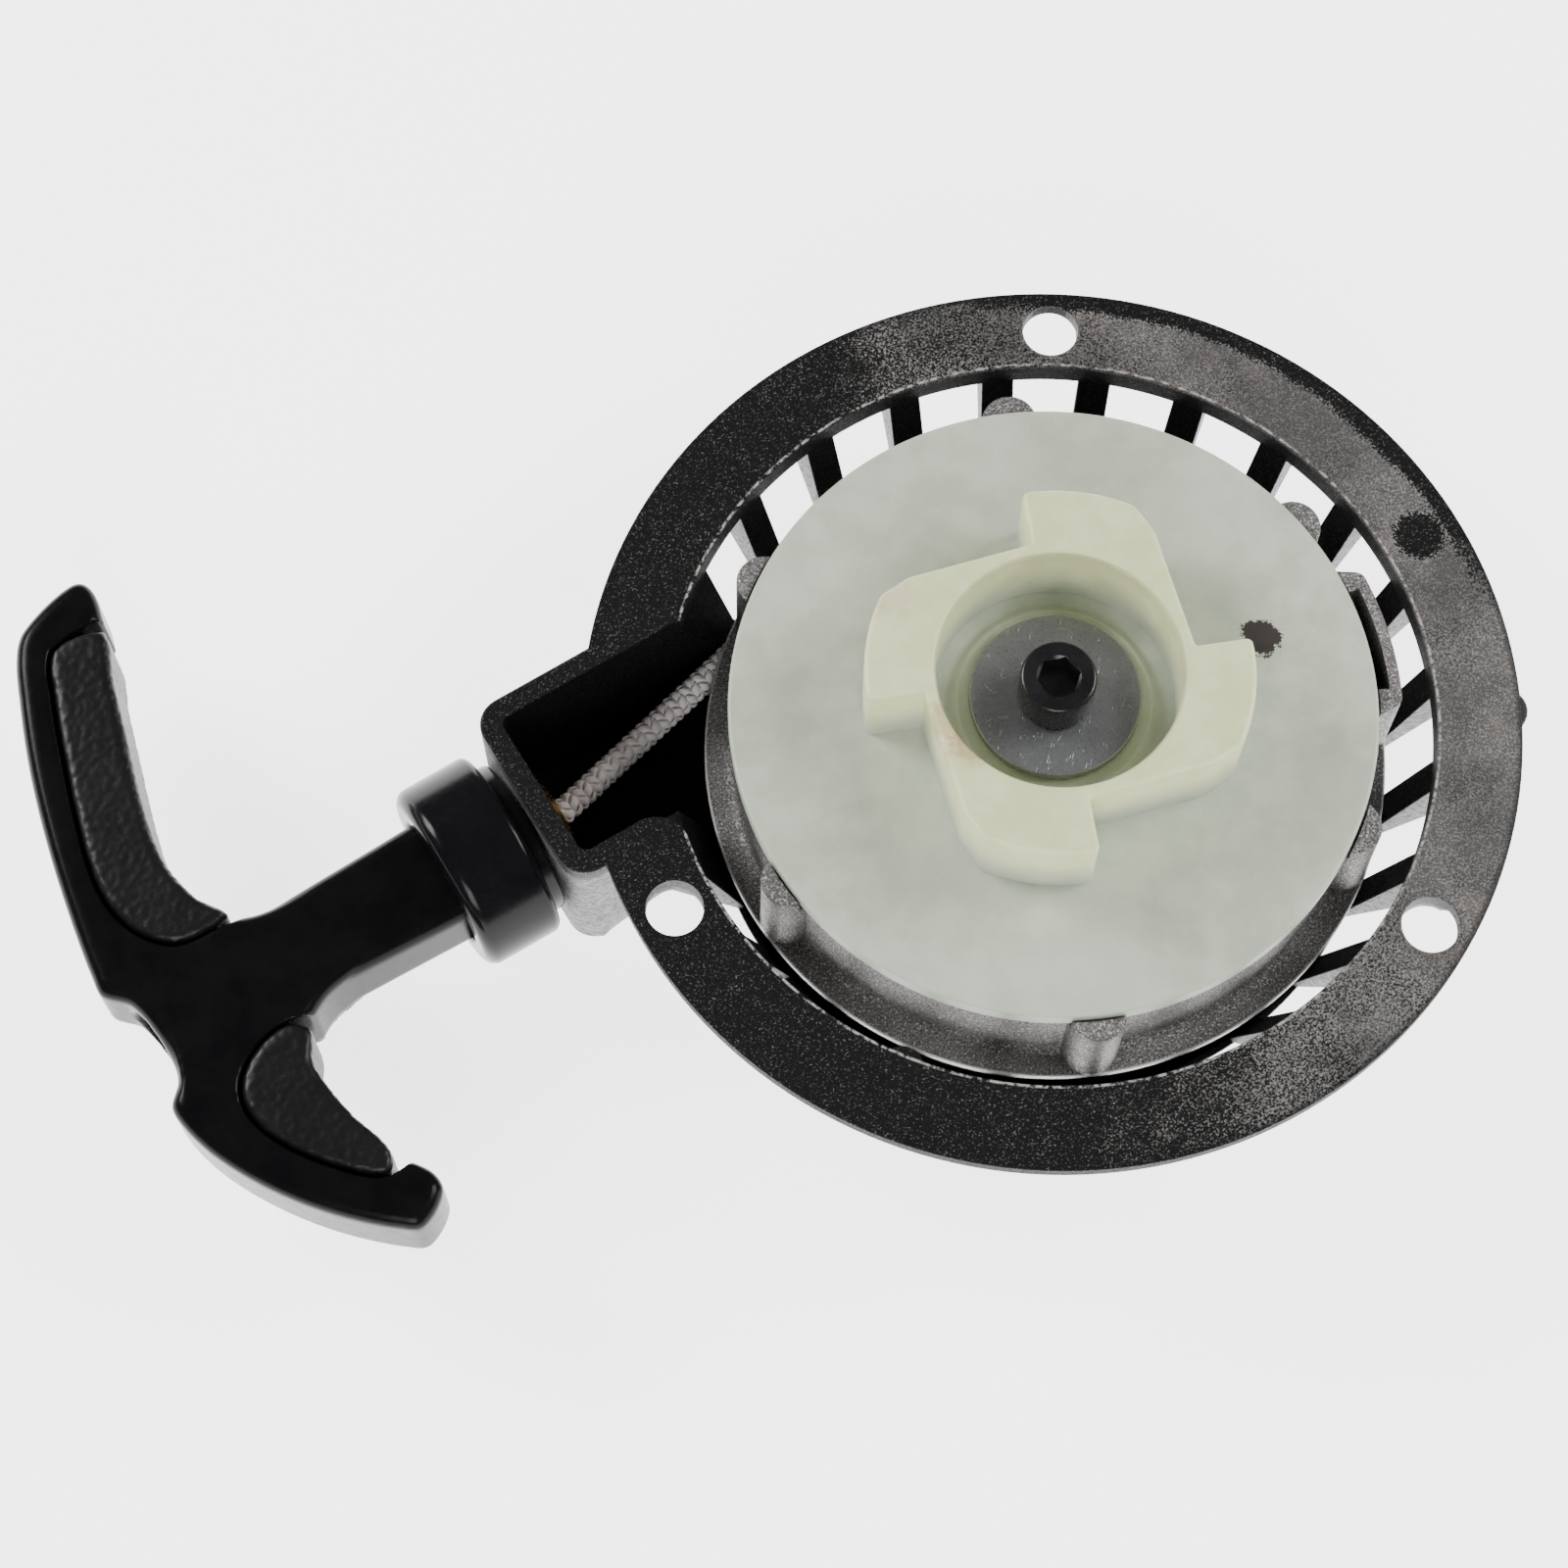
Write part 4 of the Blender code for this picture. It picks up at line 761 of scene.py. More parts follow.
def tongue_corner(bm):
    """What rounds the flange's corner between the bowl and the near side of the rope box."""
    radius, half, margin, steps = 4.6 * MM, BOX_HALF_INSIDE, 2 * MM, 12
    hub = Vector((0, PULL_OFFSET))
    centre_side = half + radius - PULL_OFFSET
    centre = hub + Vector((((FLANGE_INNER_R + radius) ** 2 - centre_side**2) ** 0.5, centre_side))
    corner_along = (FLANGE_INNER_R**2 - (half - PULL_OFFSET) ** 2) ** 0.5
    to_hub = (hub - centre).normalized()
    start, end = atan2(to_hub.y, to_hub.x), 1.5 * pi
    angles = [start + (end - start) * k / steps for k in range(steps + 1)]
    outline = [tuple(centre + radius * Vector((cos(a), sin(a)))) for a in angles]
    inner = Vector(outline[0]) + to_hub * margin
    outline += [(outline[-1][0], half - margin), (corner_along - 3 * MM, half - margin), tuple(inner)]
    prism(bm, outline, 0.0275 - PULL_Z, 0.036 - PULL_Z, place=LINE_FRAME)


def gate_remnant(bm):
    """A small nub left on the rim where the casting was broken off."""
    radius, low, high = 3.1 * MM, FLANGE_UNDER + 0.3 * MM, FLANGE_TOP - 0.1 * MM
    profile = fillet([(0, low, 0), (radius, low, 0.3 * MM), (radius, high, 0.4 * MM), (0, high, 0)], 3)
    lathe(bm, profile, 24, upright(0.0600, 1))


def box_web(bm):
    """The flare on the near side of the rope box where it runs into the bowl."""
    outline = [(0.0400, 0.0100), (0.0600, 0.0100), (0.0600, 0.0142), (0.0400, 0.0205)]
    prism(bm, outline, BOX_BOTTOM - PULL_Z, FLANGE_UNDER - 0.4 * MM - PULL_Z, 1.5 * MM, place=LINE_FRAME)


def post(bm):
    """The post under the screw, with a foot that flares into the floor."""
    foot, foot_r, bore_end = FLOOR_TOP - MM, POST_R + 2 * MM, 0.0164
    outside = [
        (foot_r, foot, 0), (foot_r, FLOOR_TOP, 0), (POST_R, FLOOR_TOP + 2 * MM, MM),
        (POST_R, POST_TOP, 0.5 * MM), (SCREW_BORE_R, POST_TOP, 0.2 * MM),
    ]
    lathe(bm, [(0, foot)] + fillet(outside, 4) + [(SCREW_BORE_R, bore_end), (0, bore_end)], 64)


def spring_wall(bm):
    """The ring round the recoil spring."""
    inner, outer, foot, top, edge = 0.0345, 0.0362, FLOOR_TOP - MM, 0.0090, 0.4 * MM
    lathe(bm, fillet([(inner, foot, 0), (outer, foot, 0), (outer, top, edge), (inner, top, edge)], 3), 96)


def paint_housing(obj):
    """Faces outside the casting and on the ribs' flanks get the light grey outside finish, partly a painted
    reflection of the bright floor.
    """
    to_line = LINE_FRAME.inverted()
    for face in obj.data.polygons:
        centre, normal = face.center, face.normal
        radius = hypot(centre.x, centre.y)
        if centre.z > FLANGE_TOP - 1.2 * MM or radius < FLOOR_CENTRE_R:
            continue
        local = to_line @ centre
        slack = 0.2 * MM
        in_length = BOX_SPACE_START < local.x < BOX_FRONT - BOX_WALL + slack
        in_width = abs(local.y) < BOX_HALF_INSIDE + slack
        if in_length and in_width and centre.z > BOX_BOTTOM + BOX_WALL - slack:
            continue
        outward = (normal.x * centre.x + normal.y * centre.y) / radius
        across = (normal.y * centre.x - normal.x * centre.y) / radius
        on_wall = inner_wall_r(centre.z) + 0.35 * MM < radius
        # Faces turned out, sideways or down take the lighter finish, partly a painted reflection of the
        # bright floor
        if on_wall and (outward > 0.1 or abs(across) > 0.6 or normal.z < -0.3) or normal.z < -0.6:
            face.material_index = 1


def build_housing():
    housing = shape(housing_shell)
    modify(housing, "BEVEL", width=0.42 * MM, segments=3, limit_method="ANGLE", angle_limit=radians(38))
    baked(housing)
    box = [combine(shape(tool), [shape(bowl_space)], "DIFFERENCE") for tool in (box_body, box_web)]
    combine(housing, box, "UNION")
    combine(housing, [shape(ejector_marks), shape(gate_remnant)], "UNION")
    combine(housing, [shape(box_space), shape(tongue_corner)], "DIFFERENCE")
    combine(housing, [shape(post), shape(spring_wall)], "UNION")
    eyelet_hole = shape(lathe, rod(EYELET_TUBE_R + 0.3 * MM, 0.058, 0.070), 32, TURN_FRAME)
    combine(housing, [shape(bolt_hole, n) for n in range(3)] + [eyelet_hole], "DIFFERENCE")
    piece(housing, "housing_casting", "root", "housing_black", "housing")
    paint_housing(housing)


# Pieces on the post


def build_washer():
    corners = [(WASHER_R, WASHER_LOW), (WASHER_R, WASHER_HIGH)]
    corners += [(SCREW_BORE_R, WASHER_HIGH), (SCREW_BORE_R, WASHER_LOW)]
    profile = fillet([(r, z, 0.22 * MM) for r, z in corners], 3)
    piece(shape(lathe, profile, 96), "washer", "root", "washer_steel", "retaining_washer")


def build_screw():
    """Socket cap screw: rounded head, hexagon socket with a chamfer, grooves for the thread."""
    profile = fillet(
        [(0, SCREW_TOP, 0), (SCREW_HEAD_R, SCREW_TOP, 0.55 * MM), (SCREW_HEAD_R, SCREW_SEAT, 0.2 * MM),
         (SCREW_SHANK_R, SCREW_SEAT, 0)], 5
    )
    pitch, depth = MM, 0.45 * MM
    for k in range(int((SCREW_SEAT - SCREW_END - pitch) / pitch)):
        low = SCREW_SEAT - 0.6 * MM - k * pitch
        profile += [(SCREW_SHANK_R, low), (SCREW_SHANK_R - depth, low - pitch / 2)]
    profile += [(SCREW_SHANK_R - 0.4 * MM, SCREW_END), (0, SCREW_END)]
    screw = shape(lathe, profile, 64)
    flat = 2.5 * MM
    hexagon = [polar(flat / cos(pi / 6), 60 * k + 12) for k in range(6)]
    socket = shape(prism, hexagon, SCREW_TOP - 3 * MM, SCREW_TOP + MM)
    low, high = SCREW_TOP - 0.35 * MM, SCREW_TOP + 0.3 * MM
    chamfer = shape(lathe, [(0, low), (flat, low), (flat + 0.8 * MM, high), (0, high)], 48)
    combine(screw, [socket, chamfer], "DIFFERENCE")
    piece(screw, "cap_screw", "root", "black_oxide", "centre_screw")


# Reel


def reel_body(bm):
    web_r = GROOVE_CORE_R - 2 * MM
    corners = [
        (CUP_INNER_R, CUP_TOP, 0.4 * MM), (CUP_OUTER_R, CUP_TOP, 0.6 * MM),
        (CUP_OUTER_R + 0.2 * MM, LEDGE_Z, 1.4 * MM), (LEDGE_R, LEDGE_Z, 0.25 * MM),
        (LEDGE_R, GROOVE_HIGH, 0.25 * MM), (GROOVE_CORE_R, GROOVE_HIGH, 0.8 * MM),
        (GROOVE_CORE_R, GROOVE_LOW, 0.8 * MM), (LOWER_RIM_R, GROOVE_LOW, 0.3 * MM),
        (LOWER_RIM_R, REEL_FOOT, 0.3 * MM), (web_r, REEL_FOOT, 0.4 * MM), (web_r, REEL_WEB, 0.8 * MM),
        (REEL_HUB_R, REEL_WEB, 0.8 * MM), (REEL_HUB_R, HUB_FOOT, 0.4 * MM),
        (REEL_BORE_R, HUB_FOOT, 0.3 * MM), (REEL_BORE_R, REEL_HUB_TOP, 0.3 * MM),
        (REEL_HUB_R, REEL_HUB_TOP, 0.4 * MM), (REEL_HUB_R, CUP_FLOOR, 0.8 * MM),
        (CUP_INNER_R, CUP_FLOOR, 0.8 * MM),
    ]
    profile = fillet(corners, 4)
    lathe(bm, profile, 144)


def lug(bm, angle):
    """A half-round pillar on the cup wall, with a flat round top."""
    flare = 0.35 * MM
    foot = LEDGE_Z - flare
    profile = fillet(
        [(0, foot, 0), (LUG_R + flare, foot, 0), (LUG_R + 0.1 * MM, LEDGE_Z + 0.8 * MM, 0.5 * MM),
         (LUG_R, LUG_TOP, 0.35 * MM), (0, LUG_TOP, 0)], 4
    )
    lathe(bm, profile, 40, upright(LUG_REACH - LUG_R, angle))


def notch_boss(bm):
    """A thicker stretch of the cup wall, with sloping shoulders."""
    foot_span, top_span = 16, 12

    def arc(radius, end_rounding):
        roundings = [end_rounding] + [0] * 9 + [end_rounding]
        angles = [NOTCH_ANGLE + top_span * (k / 5 - 1) for k in range(11)]
        return [(*polar(radius, a), rounding) for a, rounding in zip(angles, roundings)]

    feet = [(*polar(CUP_OUTER_R - MM, NOTCH_ANGLE + turn), 0) for turn in (-foot_span, foot_span)]
    corners = [feet[0], *arc(NOTCH_REACH, 1.6 * MM), feet[1], *arc(CUP_INNER_R + MM, 0)[::-1]]
    prism(bm, fillet(corners, 5), LEDGE_Z - 0.3 * MM, LUG_TOP, 0.35 * MM)


def hook_slot(bm):
    """The slot inside the boss, which takes the end of the assist spring."""
    half_span, outer_r = 9.5, 0.0447
    angles = [NOTCH_ANGLE + half_span * (k / 8 - 1) for k in range(17)]
    outline = [polar(outer_r, a) for a in angles] + [polar(CUP_INNER_R - MM, a) for a in angles[::-1]]
    prism(bm, outline, CUP_FLOOR + 0.3 * MM, LUG_TOP + 2 * MM)


def ring_space(bm, radius, low):
    """Room round the hub, from a height upwards."""
    inner, high = 0.020, 0.045
    lathe(bm, [(inner, low), (radius, low), (radius, high), (inner, high)], 144)


def build_reel():
    reel = shape(reel_body)
    combine(reel, [shape(lug, angle) for angle in LUG_ANGLES] + [shape(notch_boss)], "UNION")
    cup, disc_room = shape(ring_space, CUP_INNER_R, CUP_FLOOR), shape(ring_space, DISC_R + 0.4 * MM, CUP_TOP)
    combine(reel, [cup, disc_room, shape(hook_slot)], "DIFFERENCE")
    piece(reel, "reel_casting", "reel", "cast_aluminium", "rope_reel")


# Drive disc


def claws(bm):
    """Four claws like a pinwheel: a radial face, a round outer side, and a slanting back."""
    corners = []
    for k in range(4):
        face = CLAW_ANGLE - 90 * k
        corners.append((*polar(CLAW_ROOT_R, face + 0.5), 0.5 * MM))
        corners.append((*polar(CLAW_TIP_R, face), 1.2 * MM))
        steps = 8
        corners += [(*polar(CLAW_TIP_R, face - 4 - (CLAW_ARC - 4) * j / steps), 0) for j in range(steps)]
        corners.append((*polar(CLAW_TIP_R, face - CLAW_ARC), 1.6 * MM))
        corners.append((*polar(CLAW_TIP_R - 2.0 * MM, face - CLAW_ARC - 9.5), 3 * MM))
    prism(bm, fillet(corners, 5), DISC_TOP - MM, CLAW_TOP, 0.7 * MM, 4)


def disc_body(bm):
    under = DISC_TOP - DISC_THICKNESS
    corners = [
        (DISC_BORE_R, SEAT_TOP, 0.3 * MM), (0.0128, SEAT_TOP, 0.5 * MM), (0.0140, DISC_TOP, 1.0 * MM),
        (DISC_R, DISC_TOP, 0.45 * MM), (DISC_R, under, 0.3 * MM), (DISC_HUB_R, under, 0.8 * MM),
        (DISC_HUB_R, DISC_HUB_FOOT, 0.4 * MM), (DISC_BORE_R, DISC_HUB_FOOT, 0.2 * MM),
    ]
    profile = fillet(corners, 4)
    lathe(bm, profile, 192)


def build_disc():
    ring = shape(claws)
    bore = [(0, 0.03), (CLAW_BORE_R, 0.03)]
    widening = ((0, -0.9), (0.3, -0.3), (0.9, 0), (1.4, 0.3))
    bore += [(CLAW_BORE_R + out * MM, CLAW_TOP + up * MM) for out, up in widening]
    bore += [(0, bore[-1][1])]
    combine(ring, [shape(lathe, bore, 96)], "DIFFERENCE")
    disc = combine(shape(disc_body), [ring], "UNION")
    piece(disc, "claw_disc", "disc", "white_nylon", "drive_disc", smooth=30)


# Rope


def tangents(points):
    last = len(points) - 1
    return [(points[min(i + 1, last)] - points[max(i - 1, 0)]).normalized() for i in range(last + 1)]


def braid(bm, points, along, radius=ROPE_R, carriers=6, pitch=0.0160, sides=6):
    """Two sets of strands wound opposite ways round a line, each passing over and under the other.

    `along` gives each point's distance along the rope, from which the strands take their turn.
    """
    directions = tangents(points)
    sideways = directions[0].orthogonal().normalized()
    frames = []
    for tangent in directions:
        sideways = (sideways - tangent * sideways.dot(tangent)).normalized()
        frames.append((sideways, tangent.cross(sideways)))
    thickness, width = radius * 0.14, radius * 0.35
    middle, lift = radius - thickness * 2.2, thickness * 1.2
    for way in (1, -1):
        for strand in range(carriers):
            rings = []
            for point, (a, b), distance in zip(points, frames, along):
                turn = 2 * pi * distance / pitch
                angle = way * turn + 2 * pi * strand / carriers
                out = a * cos(angle) + b * sin(angle)
                over = a * -sin(angle) + b * cos(angle)
                reach = middle + way * lift * cos(carriers * turn)
                ring = []
                for k in range(sides):
                    t = 2 * pi * k / sides
                    spot = point + out * (reach + thickness * cos(t)) + over * (width * sin(t))
                    ring.append(bm.verts.new(spot))
                rings.append(ring)
            skin(bm, rings)


def core(bm, points, radius, sides=12):
    """The plain core inside a braid."""
    rings = []
    for point, tangent in zip(points, tangents(points)):
        a = (Vector((0, 0, 1)) - tangent * tangent.z).normalized()
        b = tangent.cross(a)
        spokes = [2 * pi * k / sides for k in range(sides)]
        rings.append([bm.verts.new(point + (a * cos(t) + b * sin(t)) * radius) for t in spokes])
    skin(bm, rings)


def roped(bm, points, along, **settings):
    braid(bm, points, along, **settings)
    core(bm, points, ROPE_R * 0.62)


def evenly(points, step):
    """(points, distances) along a polyline at even steps."""
    lengths = [0.0]
    for a, b in zip(points, points[1:]):
        lengths.append(lengths[-1] + (b - a).length)
    count = max(2, int(lengths[-1] / step))
    found, distances, i = [], [], 0
    for k in range(count + 1):
        goal = lengths[-1] * k / count
        while i < len(points) - 2 and lengths[i + 1] < goal:
            i += 1
        part = (goal - lengths[i]) / (lengths[i + 1] - lengths[i])
        found.append(points[i].lerp(points[i + 1], part))
        distances.append(goal)
    return found, distances


def line_point(along, side=0.0, up=0.0):
    return LINE_FRAME @ Vector((along, side, up))


def wrap_point(turns):
    x, y = polar(TANGENT_R - WRAP_PITCH * turns, TANGENT_ANGLE - 360 * turns)
    return Vector((x, y, TANGENT_Z + WRAP_RISE * min(1.0, turns)))


def build_rope():
    wraps = (TANGENT_R - GROOVE_CORE_R - ROPE_R - 0.2 * MM) / WRAP_PITCH
    coarse = dict(sides=4)
    winding = evenly([wrap_point(wraps * k / 240) for k in range(241)], 1.1 * MM)
    piece(shape(roped, *winding, **coarse), "wound_rope", "reel", "rope_braid", "rope_winding")

    start, mouth = wrap_point(0), line_point(EYELET_START - 0.3 * MM)
    leaving = (mouth - start).normalized()
    approach = mouth - leaving * 2.2 * MM
    turning, inside = line_point(EYELET_START), line_point(EYELET_START + 2.2 * MM)
    route = [start, approach]
    for k in range(1, 8):
        route.append(approach.lerp(turning, k / 8).lerp(turning.lerp(inside, k / 8), k / 8))
    route += [inside, line_point(EYELET_END + 0.3 * MM)]
    span = evenly(route, 0.35 * MM)
    piece(shape(roped, *span, sides=8), "rope_in_box", "root", "rope_braid", "rope_span")

    low, high = EYELET_END + 0.6 * MM, STEM_START - 0.3 * MM
    count = 620
    line = [line_point(low + (high - low) * k / count) for k in range(count + 1)]
    drawn = [(PULL_RANGE + high - low) * k / count for k in range(count + 1)]
    pulled = shape(roped, line, drawn, **coarse)
    piece(pulled, "rope_drawn_out", None, "rope_braid", "rope_pulled")
    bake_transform(pulled)

    tail = evenly([line_point(STEM_START), line_point(KNOT_SEAT)], 0.7 * MM)
    piece(shape(roped, *tail, **coarse), "rope_in_handle", "rope_end", "rope_braid", "rope_tail")


def tied_knot(bm, place, size):
    """An overhand knot drawn tight, its rope following a trefoil."""
    points, radius = [], 1.35 * MM
    for k in range(91):
        t = 2 * pi * k / 90
        trefoil = Vector((sin(t) + 2 * sin(2 * t), cos(t) - 2 * cos(2 * t), -1.3 * sin(3 * t)))
        points.append(place @ (trefoil * size))
    points, along = evenly(points, 0.45 * MM)
    braid(bm, points, along, radius=radius, sides=4)
    core(bm, points, radius * 0.74)


# Eyelet, bumper and handle


def build_eyelet():
    seat = BOX_FRONT - BOX_WALL - 0.3 * MM
    corners = [
        (EYELET_BORE_R, EYELET_END, 0.15 * MM), (EYELET_TUBE_R, EYELET_END, 0.15 * MM),
        (EYELET_TUBE_R, seat, 0), (EYELET_FLANGE_R, seat, 0.15 * MM),
        (EYELET_FLANGE_R, seat - 0.6 * MM, 0.3 * MM), (EYELET_FLANGE_R - 1.5 * MM, EYELET_START, 0.8 * MM),
        (EYELET_BORE_R + 1.1 * MM, EYELET_START, 0.6 * MM),
        (EYELET_BORE_R, EYELET_START + 1.6 * MM, 0.8 * MM),
    ]
    profile = fillet(corners, 4)
    piece(shape(lathe, profile, 64, TURN_FRAME), "brass_eyelet", "root", "brass", "rope_eyelet")


def build_bumper():
    recess, recess_r = BUMPER_START + 1.4 * MM, 5.0 * MM
    corners = [
        (BUMPER_BORE_R, recess, 0.2 * MM), (recess_r, recess, 0.3 * MM), (recess_r, BUMPER_START, 0.3 * MM),
        (BUMPER_COLLAR_R, BUMPER_START, 0.6 * MM),
        (BUMPER_COLLAR_R + 0.2 * MM, BUMPER_COLLAR_END, 0.3 * MM),
        (BUMPER_R, BUMPER_COLLAR_END, 2.4 * MM), (BUMPER_R, BUMPER_END, 4.6 * MM),
        (BUMPER_DISH_R - MM, BUMPER_END, 0.5 * MM),
        (BUMPER_DISH_R - 1.6 * MM, BUMPER_DISH_START, 0.8 * MM), (BUMPER_BORE_R, BUMPER_DISH_START, 0.2 * MM),
    ]
    profile = fillet(corners, 7)
    piece(shape(lathe, profile, 128, TURN_FRAME), "bumper", "rope_end", "bumper_rubber", "rope_bumper")


def in_metres(*points):
    return [(x * MM, y * MM) for x, y in points]


# Outlines of the handle in millimetres: along the rope line, and to its side
GRIP_OUTLINE = in_metres(
    (91.5, 5.2), (94.5, 6.6), (99.5, 7.4), (103.6, 9.7), (106.1, 13.8), (106.2, 18), (105.1, 24.5),
    (102.9, 31.3), (100.2, 35.2), (100.1, 38.2), (104.9, 41.2), (107.1, 40), (113.7, 33.8), (119.4, 26.2),
    (123.5, 18.1), (124.9, 12.2), (124.7, 10.1), (122.6, 8), (121.8, 5.2), (121.9, 0.4), (123, -5),
    (125.5, -7.6), (125.5, -9.8), (122.9, -25.6), (119.3, -39.9), (115.5, -50.5), (112.8, -56.5),
    (110.5, -59), (101.8, -61.7), (100.1, -61.1), (99.5, -59), (100.3, -55.1), (103, -46.7),
    (105.4, -38.3), (108.5, -27.3), (109.7, -19), (108.3, -12.3), (105.3, -8), (100.7, -6.6),
    (94.5, -6.3), (91.5, -5),
)
LONG_PAD_EDGE = in_metres(
    (101.1, -52.8), (103, -46.7), (105.4, -38.3), (108.5, -27.3), (109.7, -19), (108.3, -12.3),
    (106, -8.5),
)
LONG_PAD_BACK = in_metres(
    (109, -8), (114, -8.7), (117.8, -13.5), (118.9, -20), (117.2, -29), (114.4, -38.5), (111, -48.5),
    (108.3, -53.8),
)
SHORT_PAD_EDGE = in_metres(
    (104.3, 11), (106.1, 14.5), (106.2, 18), (105.1, 24.5), (103.4, 30.5),
)
SHORT_PAD_BACK = in_metres(
    (105, 33), (110, 29), (115.2, 21.5), (116.6, 16), (115, 12), (110.5, 9.2), (106.5, 8.8),
)


def stem(bm):
    """The stem of the grip: a rounded bar that narrows towards the wings."""
    rings = []
    for along, half_width, half_height in (
        (STEM_START, 7.7 * MM, 6.5 * MM), (0.0850, 7.4 * MM, 6.6 * MM), (0.0940, 7.05 * MM, 6.9 * MM),
        (0.1000, 6.8 * MM, 6.97 * MM), (0.1120, 6.4 * MM, 6.9 * MM),
    ):
        r = 2.6 * MM
        corners = [(half_width, half_height, r), (-half_width, half_height, r),
                   (-half_width, -half_height, r), (half_width, -half_height, r)]
        rings.append([bm.verts.new(LINE_FRAME @ Vector((along, y, z))) for y, z in fillet(corners, 6)])
    skin(bm, rings)


def pad_web(edge):
    """The inner part of the grip that runs through a pad."""
    behind = [(along + 2.6 * MM, side) for along, side in edge]
    low, high = behind[0][1] - 6 * MM, behind[-1][1] + 6 * MM
    return [(behind[0][0], low), *behind, (behind[-1][0], high), (0.122, high), (0.122, low)]


def remesh(obj, voxel, smoothing):
    modify(obj, "REMESH", mode="VOXEL", voxel_size=voxel)
    modify(obj, "SMOOTH", factor=0.5, iterations=smoothing)
    return baked(obj)


def build_pad(name, node, edge, back):
    """A soft pad with a pebbled skin on the faces that a hand touches."""
    outline = smooth_outline(edge + back, 4)
    pad = shape(prism, outline, -PAD_HALF_HEIGHT, PAD_HALF_HEIGHT, 1.1 * MM, 4, LINE_FRAME)
    gap = 0.35 * MM
    half = WEB_HALF_HEIGHT + gap
    web = shape(prism, offset_outline(pad_web(edge), gap), -half, half, place=LINE_FRAME)
    combine(pad, [web], "DIFFERENCE")
    remesh(pad, 0.32 * MM, 2)
    outward = [vert.normal.copy() for vert in pad.data.vertices]
    for vert, normal in zip(pad.data.vertices, outward):
        pebble = noise.noise(vert.co / (0.85 * MM)) + 0.4 * noise.noise(vert.co / (0.5 * MM))
        vert.co -= normal * (0.06 * MM * (0.6 - min(0.6, max(-0.6, pebble * 2.5))))
    piece(pad, name, "handle", "pad_rubber", node, smooth=60)


def build_handle():
    outline = smooth_outline(GRIP_OUTLINE, 5)
    grip = shape(prism, outline, -GRIP_HALF_HEIGHT, GRIP_HALF_HEIGHT, 2.0 * MM, 5, LINE_FRAME)
    remesh(combine(grip, [shape(stem)], "UNION"), 0.4 * MM, 0)
    pockets = []
    for edge, back in ((LONG_PAD_EDGE, LONG_PAD_BACK), (SHORT_PAD_EDGE, SHORT_PAD_BACK)):
        before_edge = [(along - 4 * MM, side) for along, side in edge]
        pocket_outline = offset_outline(smooth_outline(before_edge + back, 4), 0.42 * MM)
        pocket = shape(prism, pocket_outline, -0.010, 0.010, place=LINE_FRAME)
        web = shape(prism, pad_web(edge), -WEB_HALF_HEIGHT, WEB_HALF_HEIGHT, place=LINE_FRAME)
        pockets.append(combine(pocket, [web], "DIFFERENCE"))
    bore = shape(lathe, rod(HANDLE_BORE_R, 0.070, 0.116), 32, TURN_FRAME)
    knot_pocket = shape(lathe, rod(KNOT_POCKET_R, KNOT_POCKET_START, 0.135), 48, TURN_FRAME)
    combine(grip, pockets + [bore, knot_pocket], "DIFFERENCE")
    remesh(grip, 0.36 * MM, 4)
    piece(grip, "grip_moulding", "handle", "handle_plastic", "handle_grip", smooth=50)
    build_pad("long_pad", "grip_pad_long", LONG_PAD_EDGE, LONG_PAD_BACK)
    build_pad("short_pad", "grip_pad_short", SHORT_PAD_EDGE, SHORT_PAD_BACK)
    place = TURN_FRAME @ Matrix.Translation((0, 0, KNOT_SEAT + 2.6 * MM))
    piece(shape(tied_knot, place, 0.85 * MM), "end_knot", "rope_end", "rope_braid", "handle_knot")


# CAD nodes that keep their own mesh


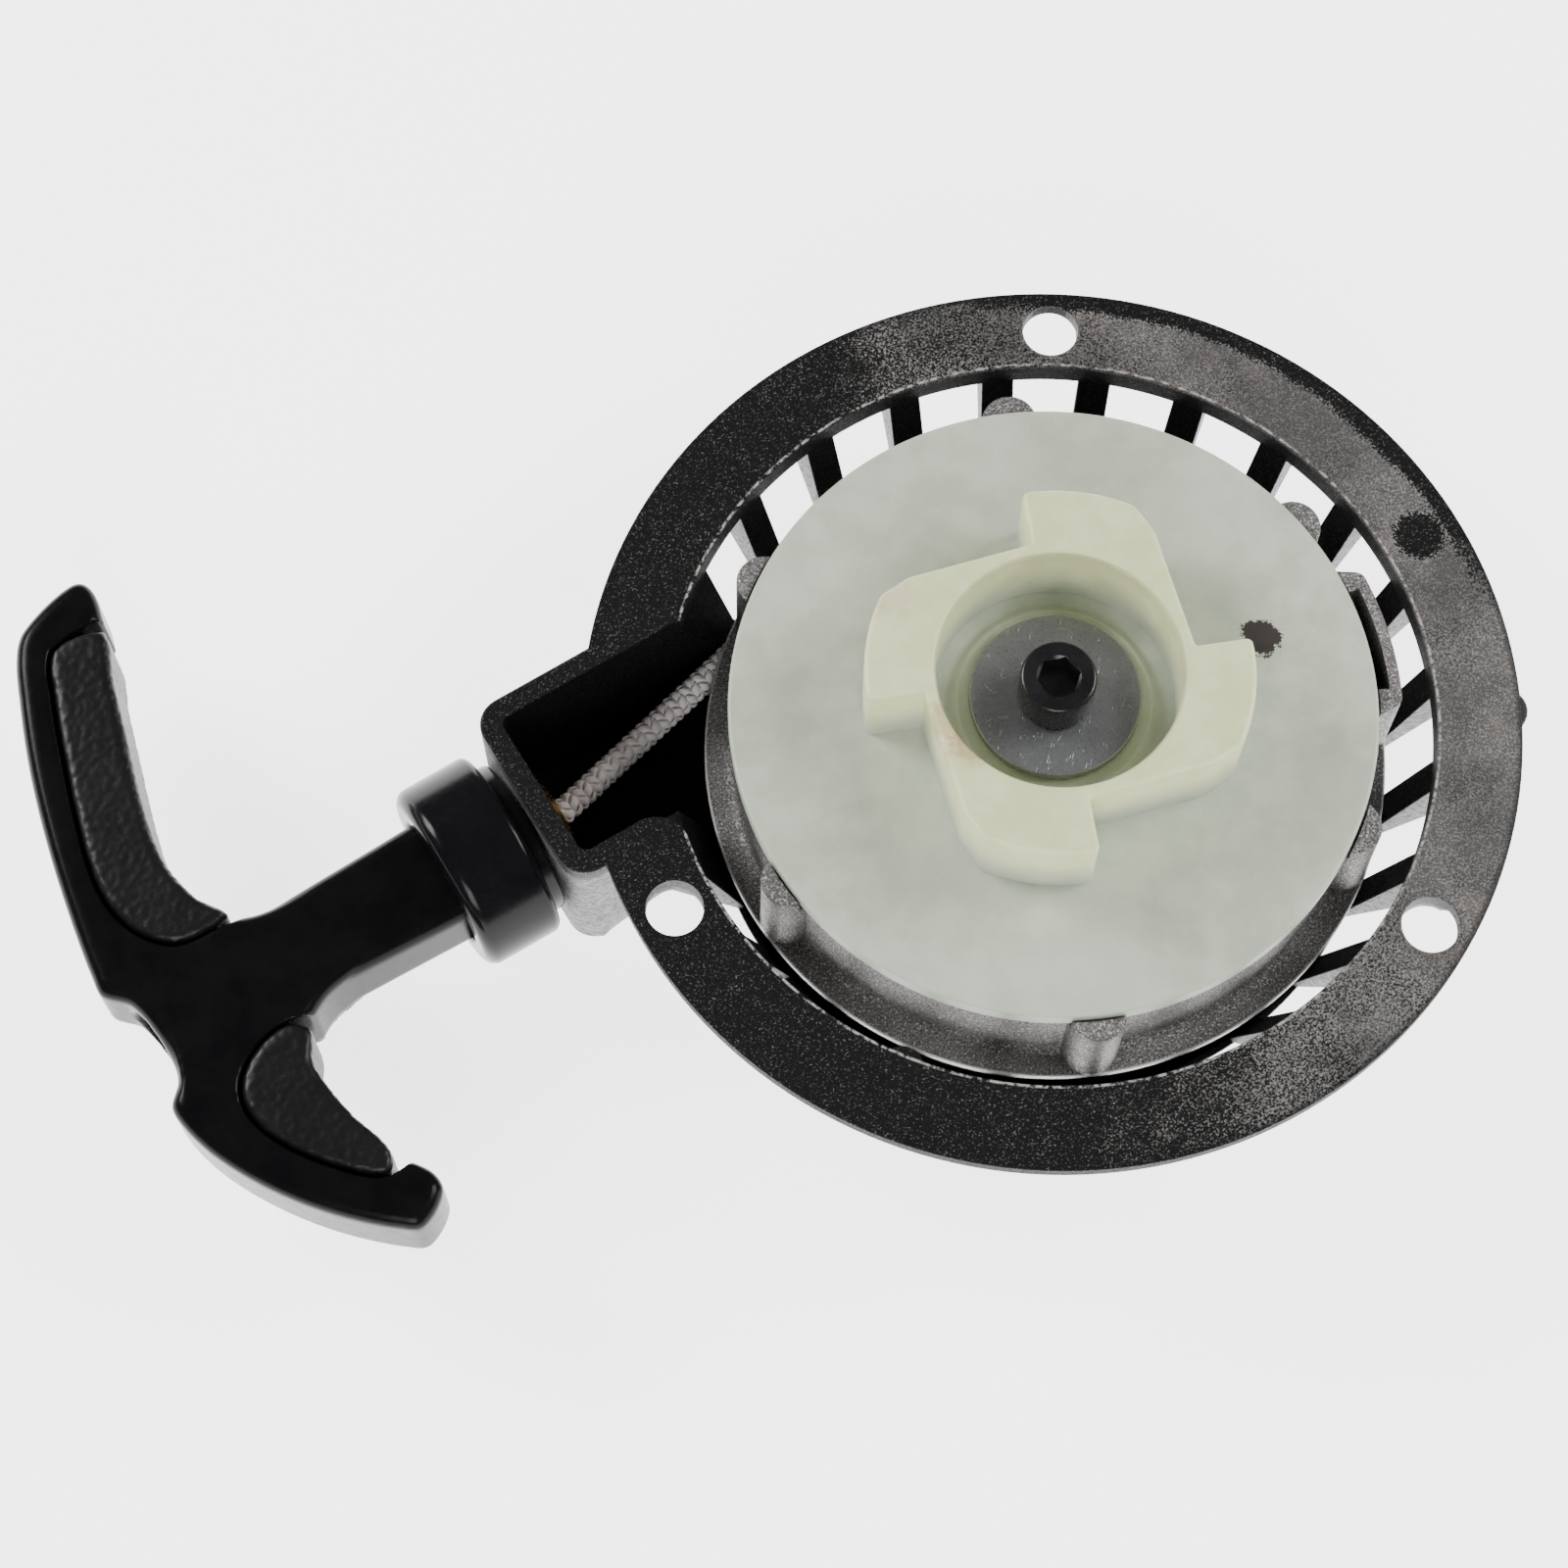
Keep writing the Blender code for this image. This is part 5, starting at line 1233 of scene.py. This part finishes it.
def finish_kept_nodes():
    kept = {
        "recoil_spring": "spring_steel", "assist_spring": "spring_steel", "knot_washer": "washer_steel",
        "reel_knot": "rope_braid",
    }
    for node, finish in kept.items():
        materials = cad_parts[node].data.materials
        materials.clear()
        materials.append(FINISHES[finish][0])


# Stage


def build_stage():
    """A pale floor that glows a little, soft light all round and three large lamps."""
    floor = shape(bmesh.ops.create_grid, x_segments=2, y_segments=2, size=3.0)
    floor.name = floor.data.name = "floor"
    floor.location = (0, 0, -0.2 * MM)
    pale = Finish("pale_floor", (0.95, 0.95, 0.95), 0.9)
    pale.set(Emission_Color=(1, 1, 1), Emission_Strength=3.0)
    floor.data.materials.append(pale.material)
    world = bpy.data.worlds.new("studio")
    world.use_nodes = True
    background = world.node_tree.nodes["Background"].inputs
    background["Color"].default_value = (1, 1, 1, 1)
    background["Strength"].default_value = 0.22
    bpy.context.scene.world = world
    lamps = (
        ("left", (-0.75, 0.35, 0.55), 0.4, 9.0),
        ("right", (0.75, 0.20, 0.60), 0.5, 9.0),
        ("front", (-0.05, -0.85, 0.60), 0.5, 7.0),
    )
    aim = Vector((-0.02, 0, 0.02))
    for name, place, width, power in lamps:
        light = bpy.data.lights.new(name, "AREA")
        light.shape = "SQUARE"
        light.size = width
        light.energy = power
        lamp = placed(name, light)
        lamp.location = place
        lamp.rotation_euler = (aim - Vector(place)).to_track_quat("-Z", "Y").to_euler()


def build_camera():
    """Looks down on the engine side, tilted 20 degrees towards the near rim."""
    data = bpy.data.cameras.new("camera")
    data.sensor_width = 36
    data.lens = 83.33
    data.clip_start = 0.01
    camera = placed("camera", data)
    turn = Matrix.Rotation(radians(20.29), 4, "X") @ Matrix.Rotation(radians(0.49), 4, "Z")
    camera.matrix_world = Matrix.Translation((-0.03535, -0.1756, 0.4788)) @ turn
    bpy.context.scene.camera = camera


build_camera()
build_stage()
build_housing()
build_washer()
build_screw()
build_reel()
build_disc()
build_rope()
build_eyelet()
build_bumper()
build_handle()
finish_kept_nodes()
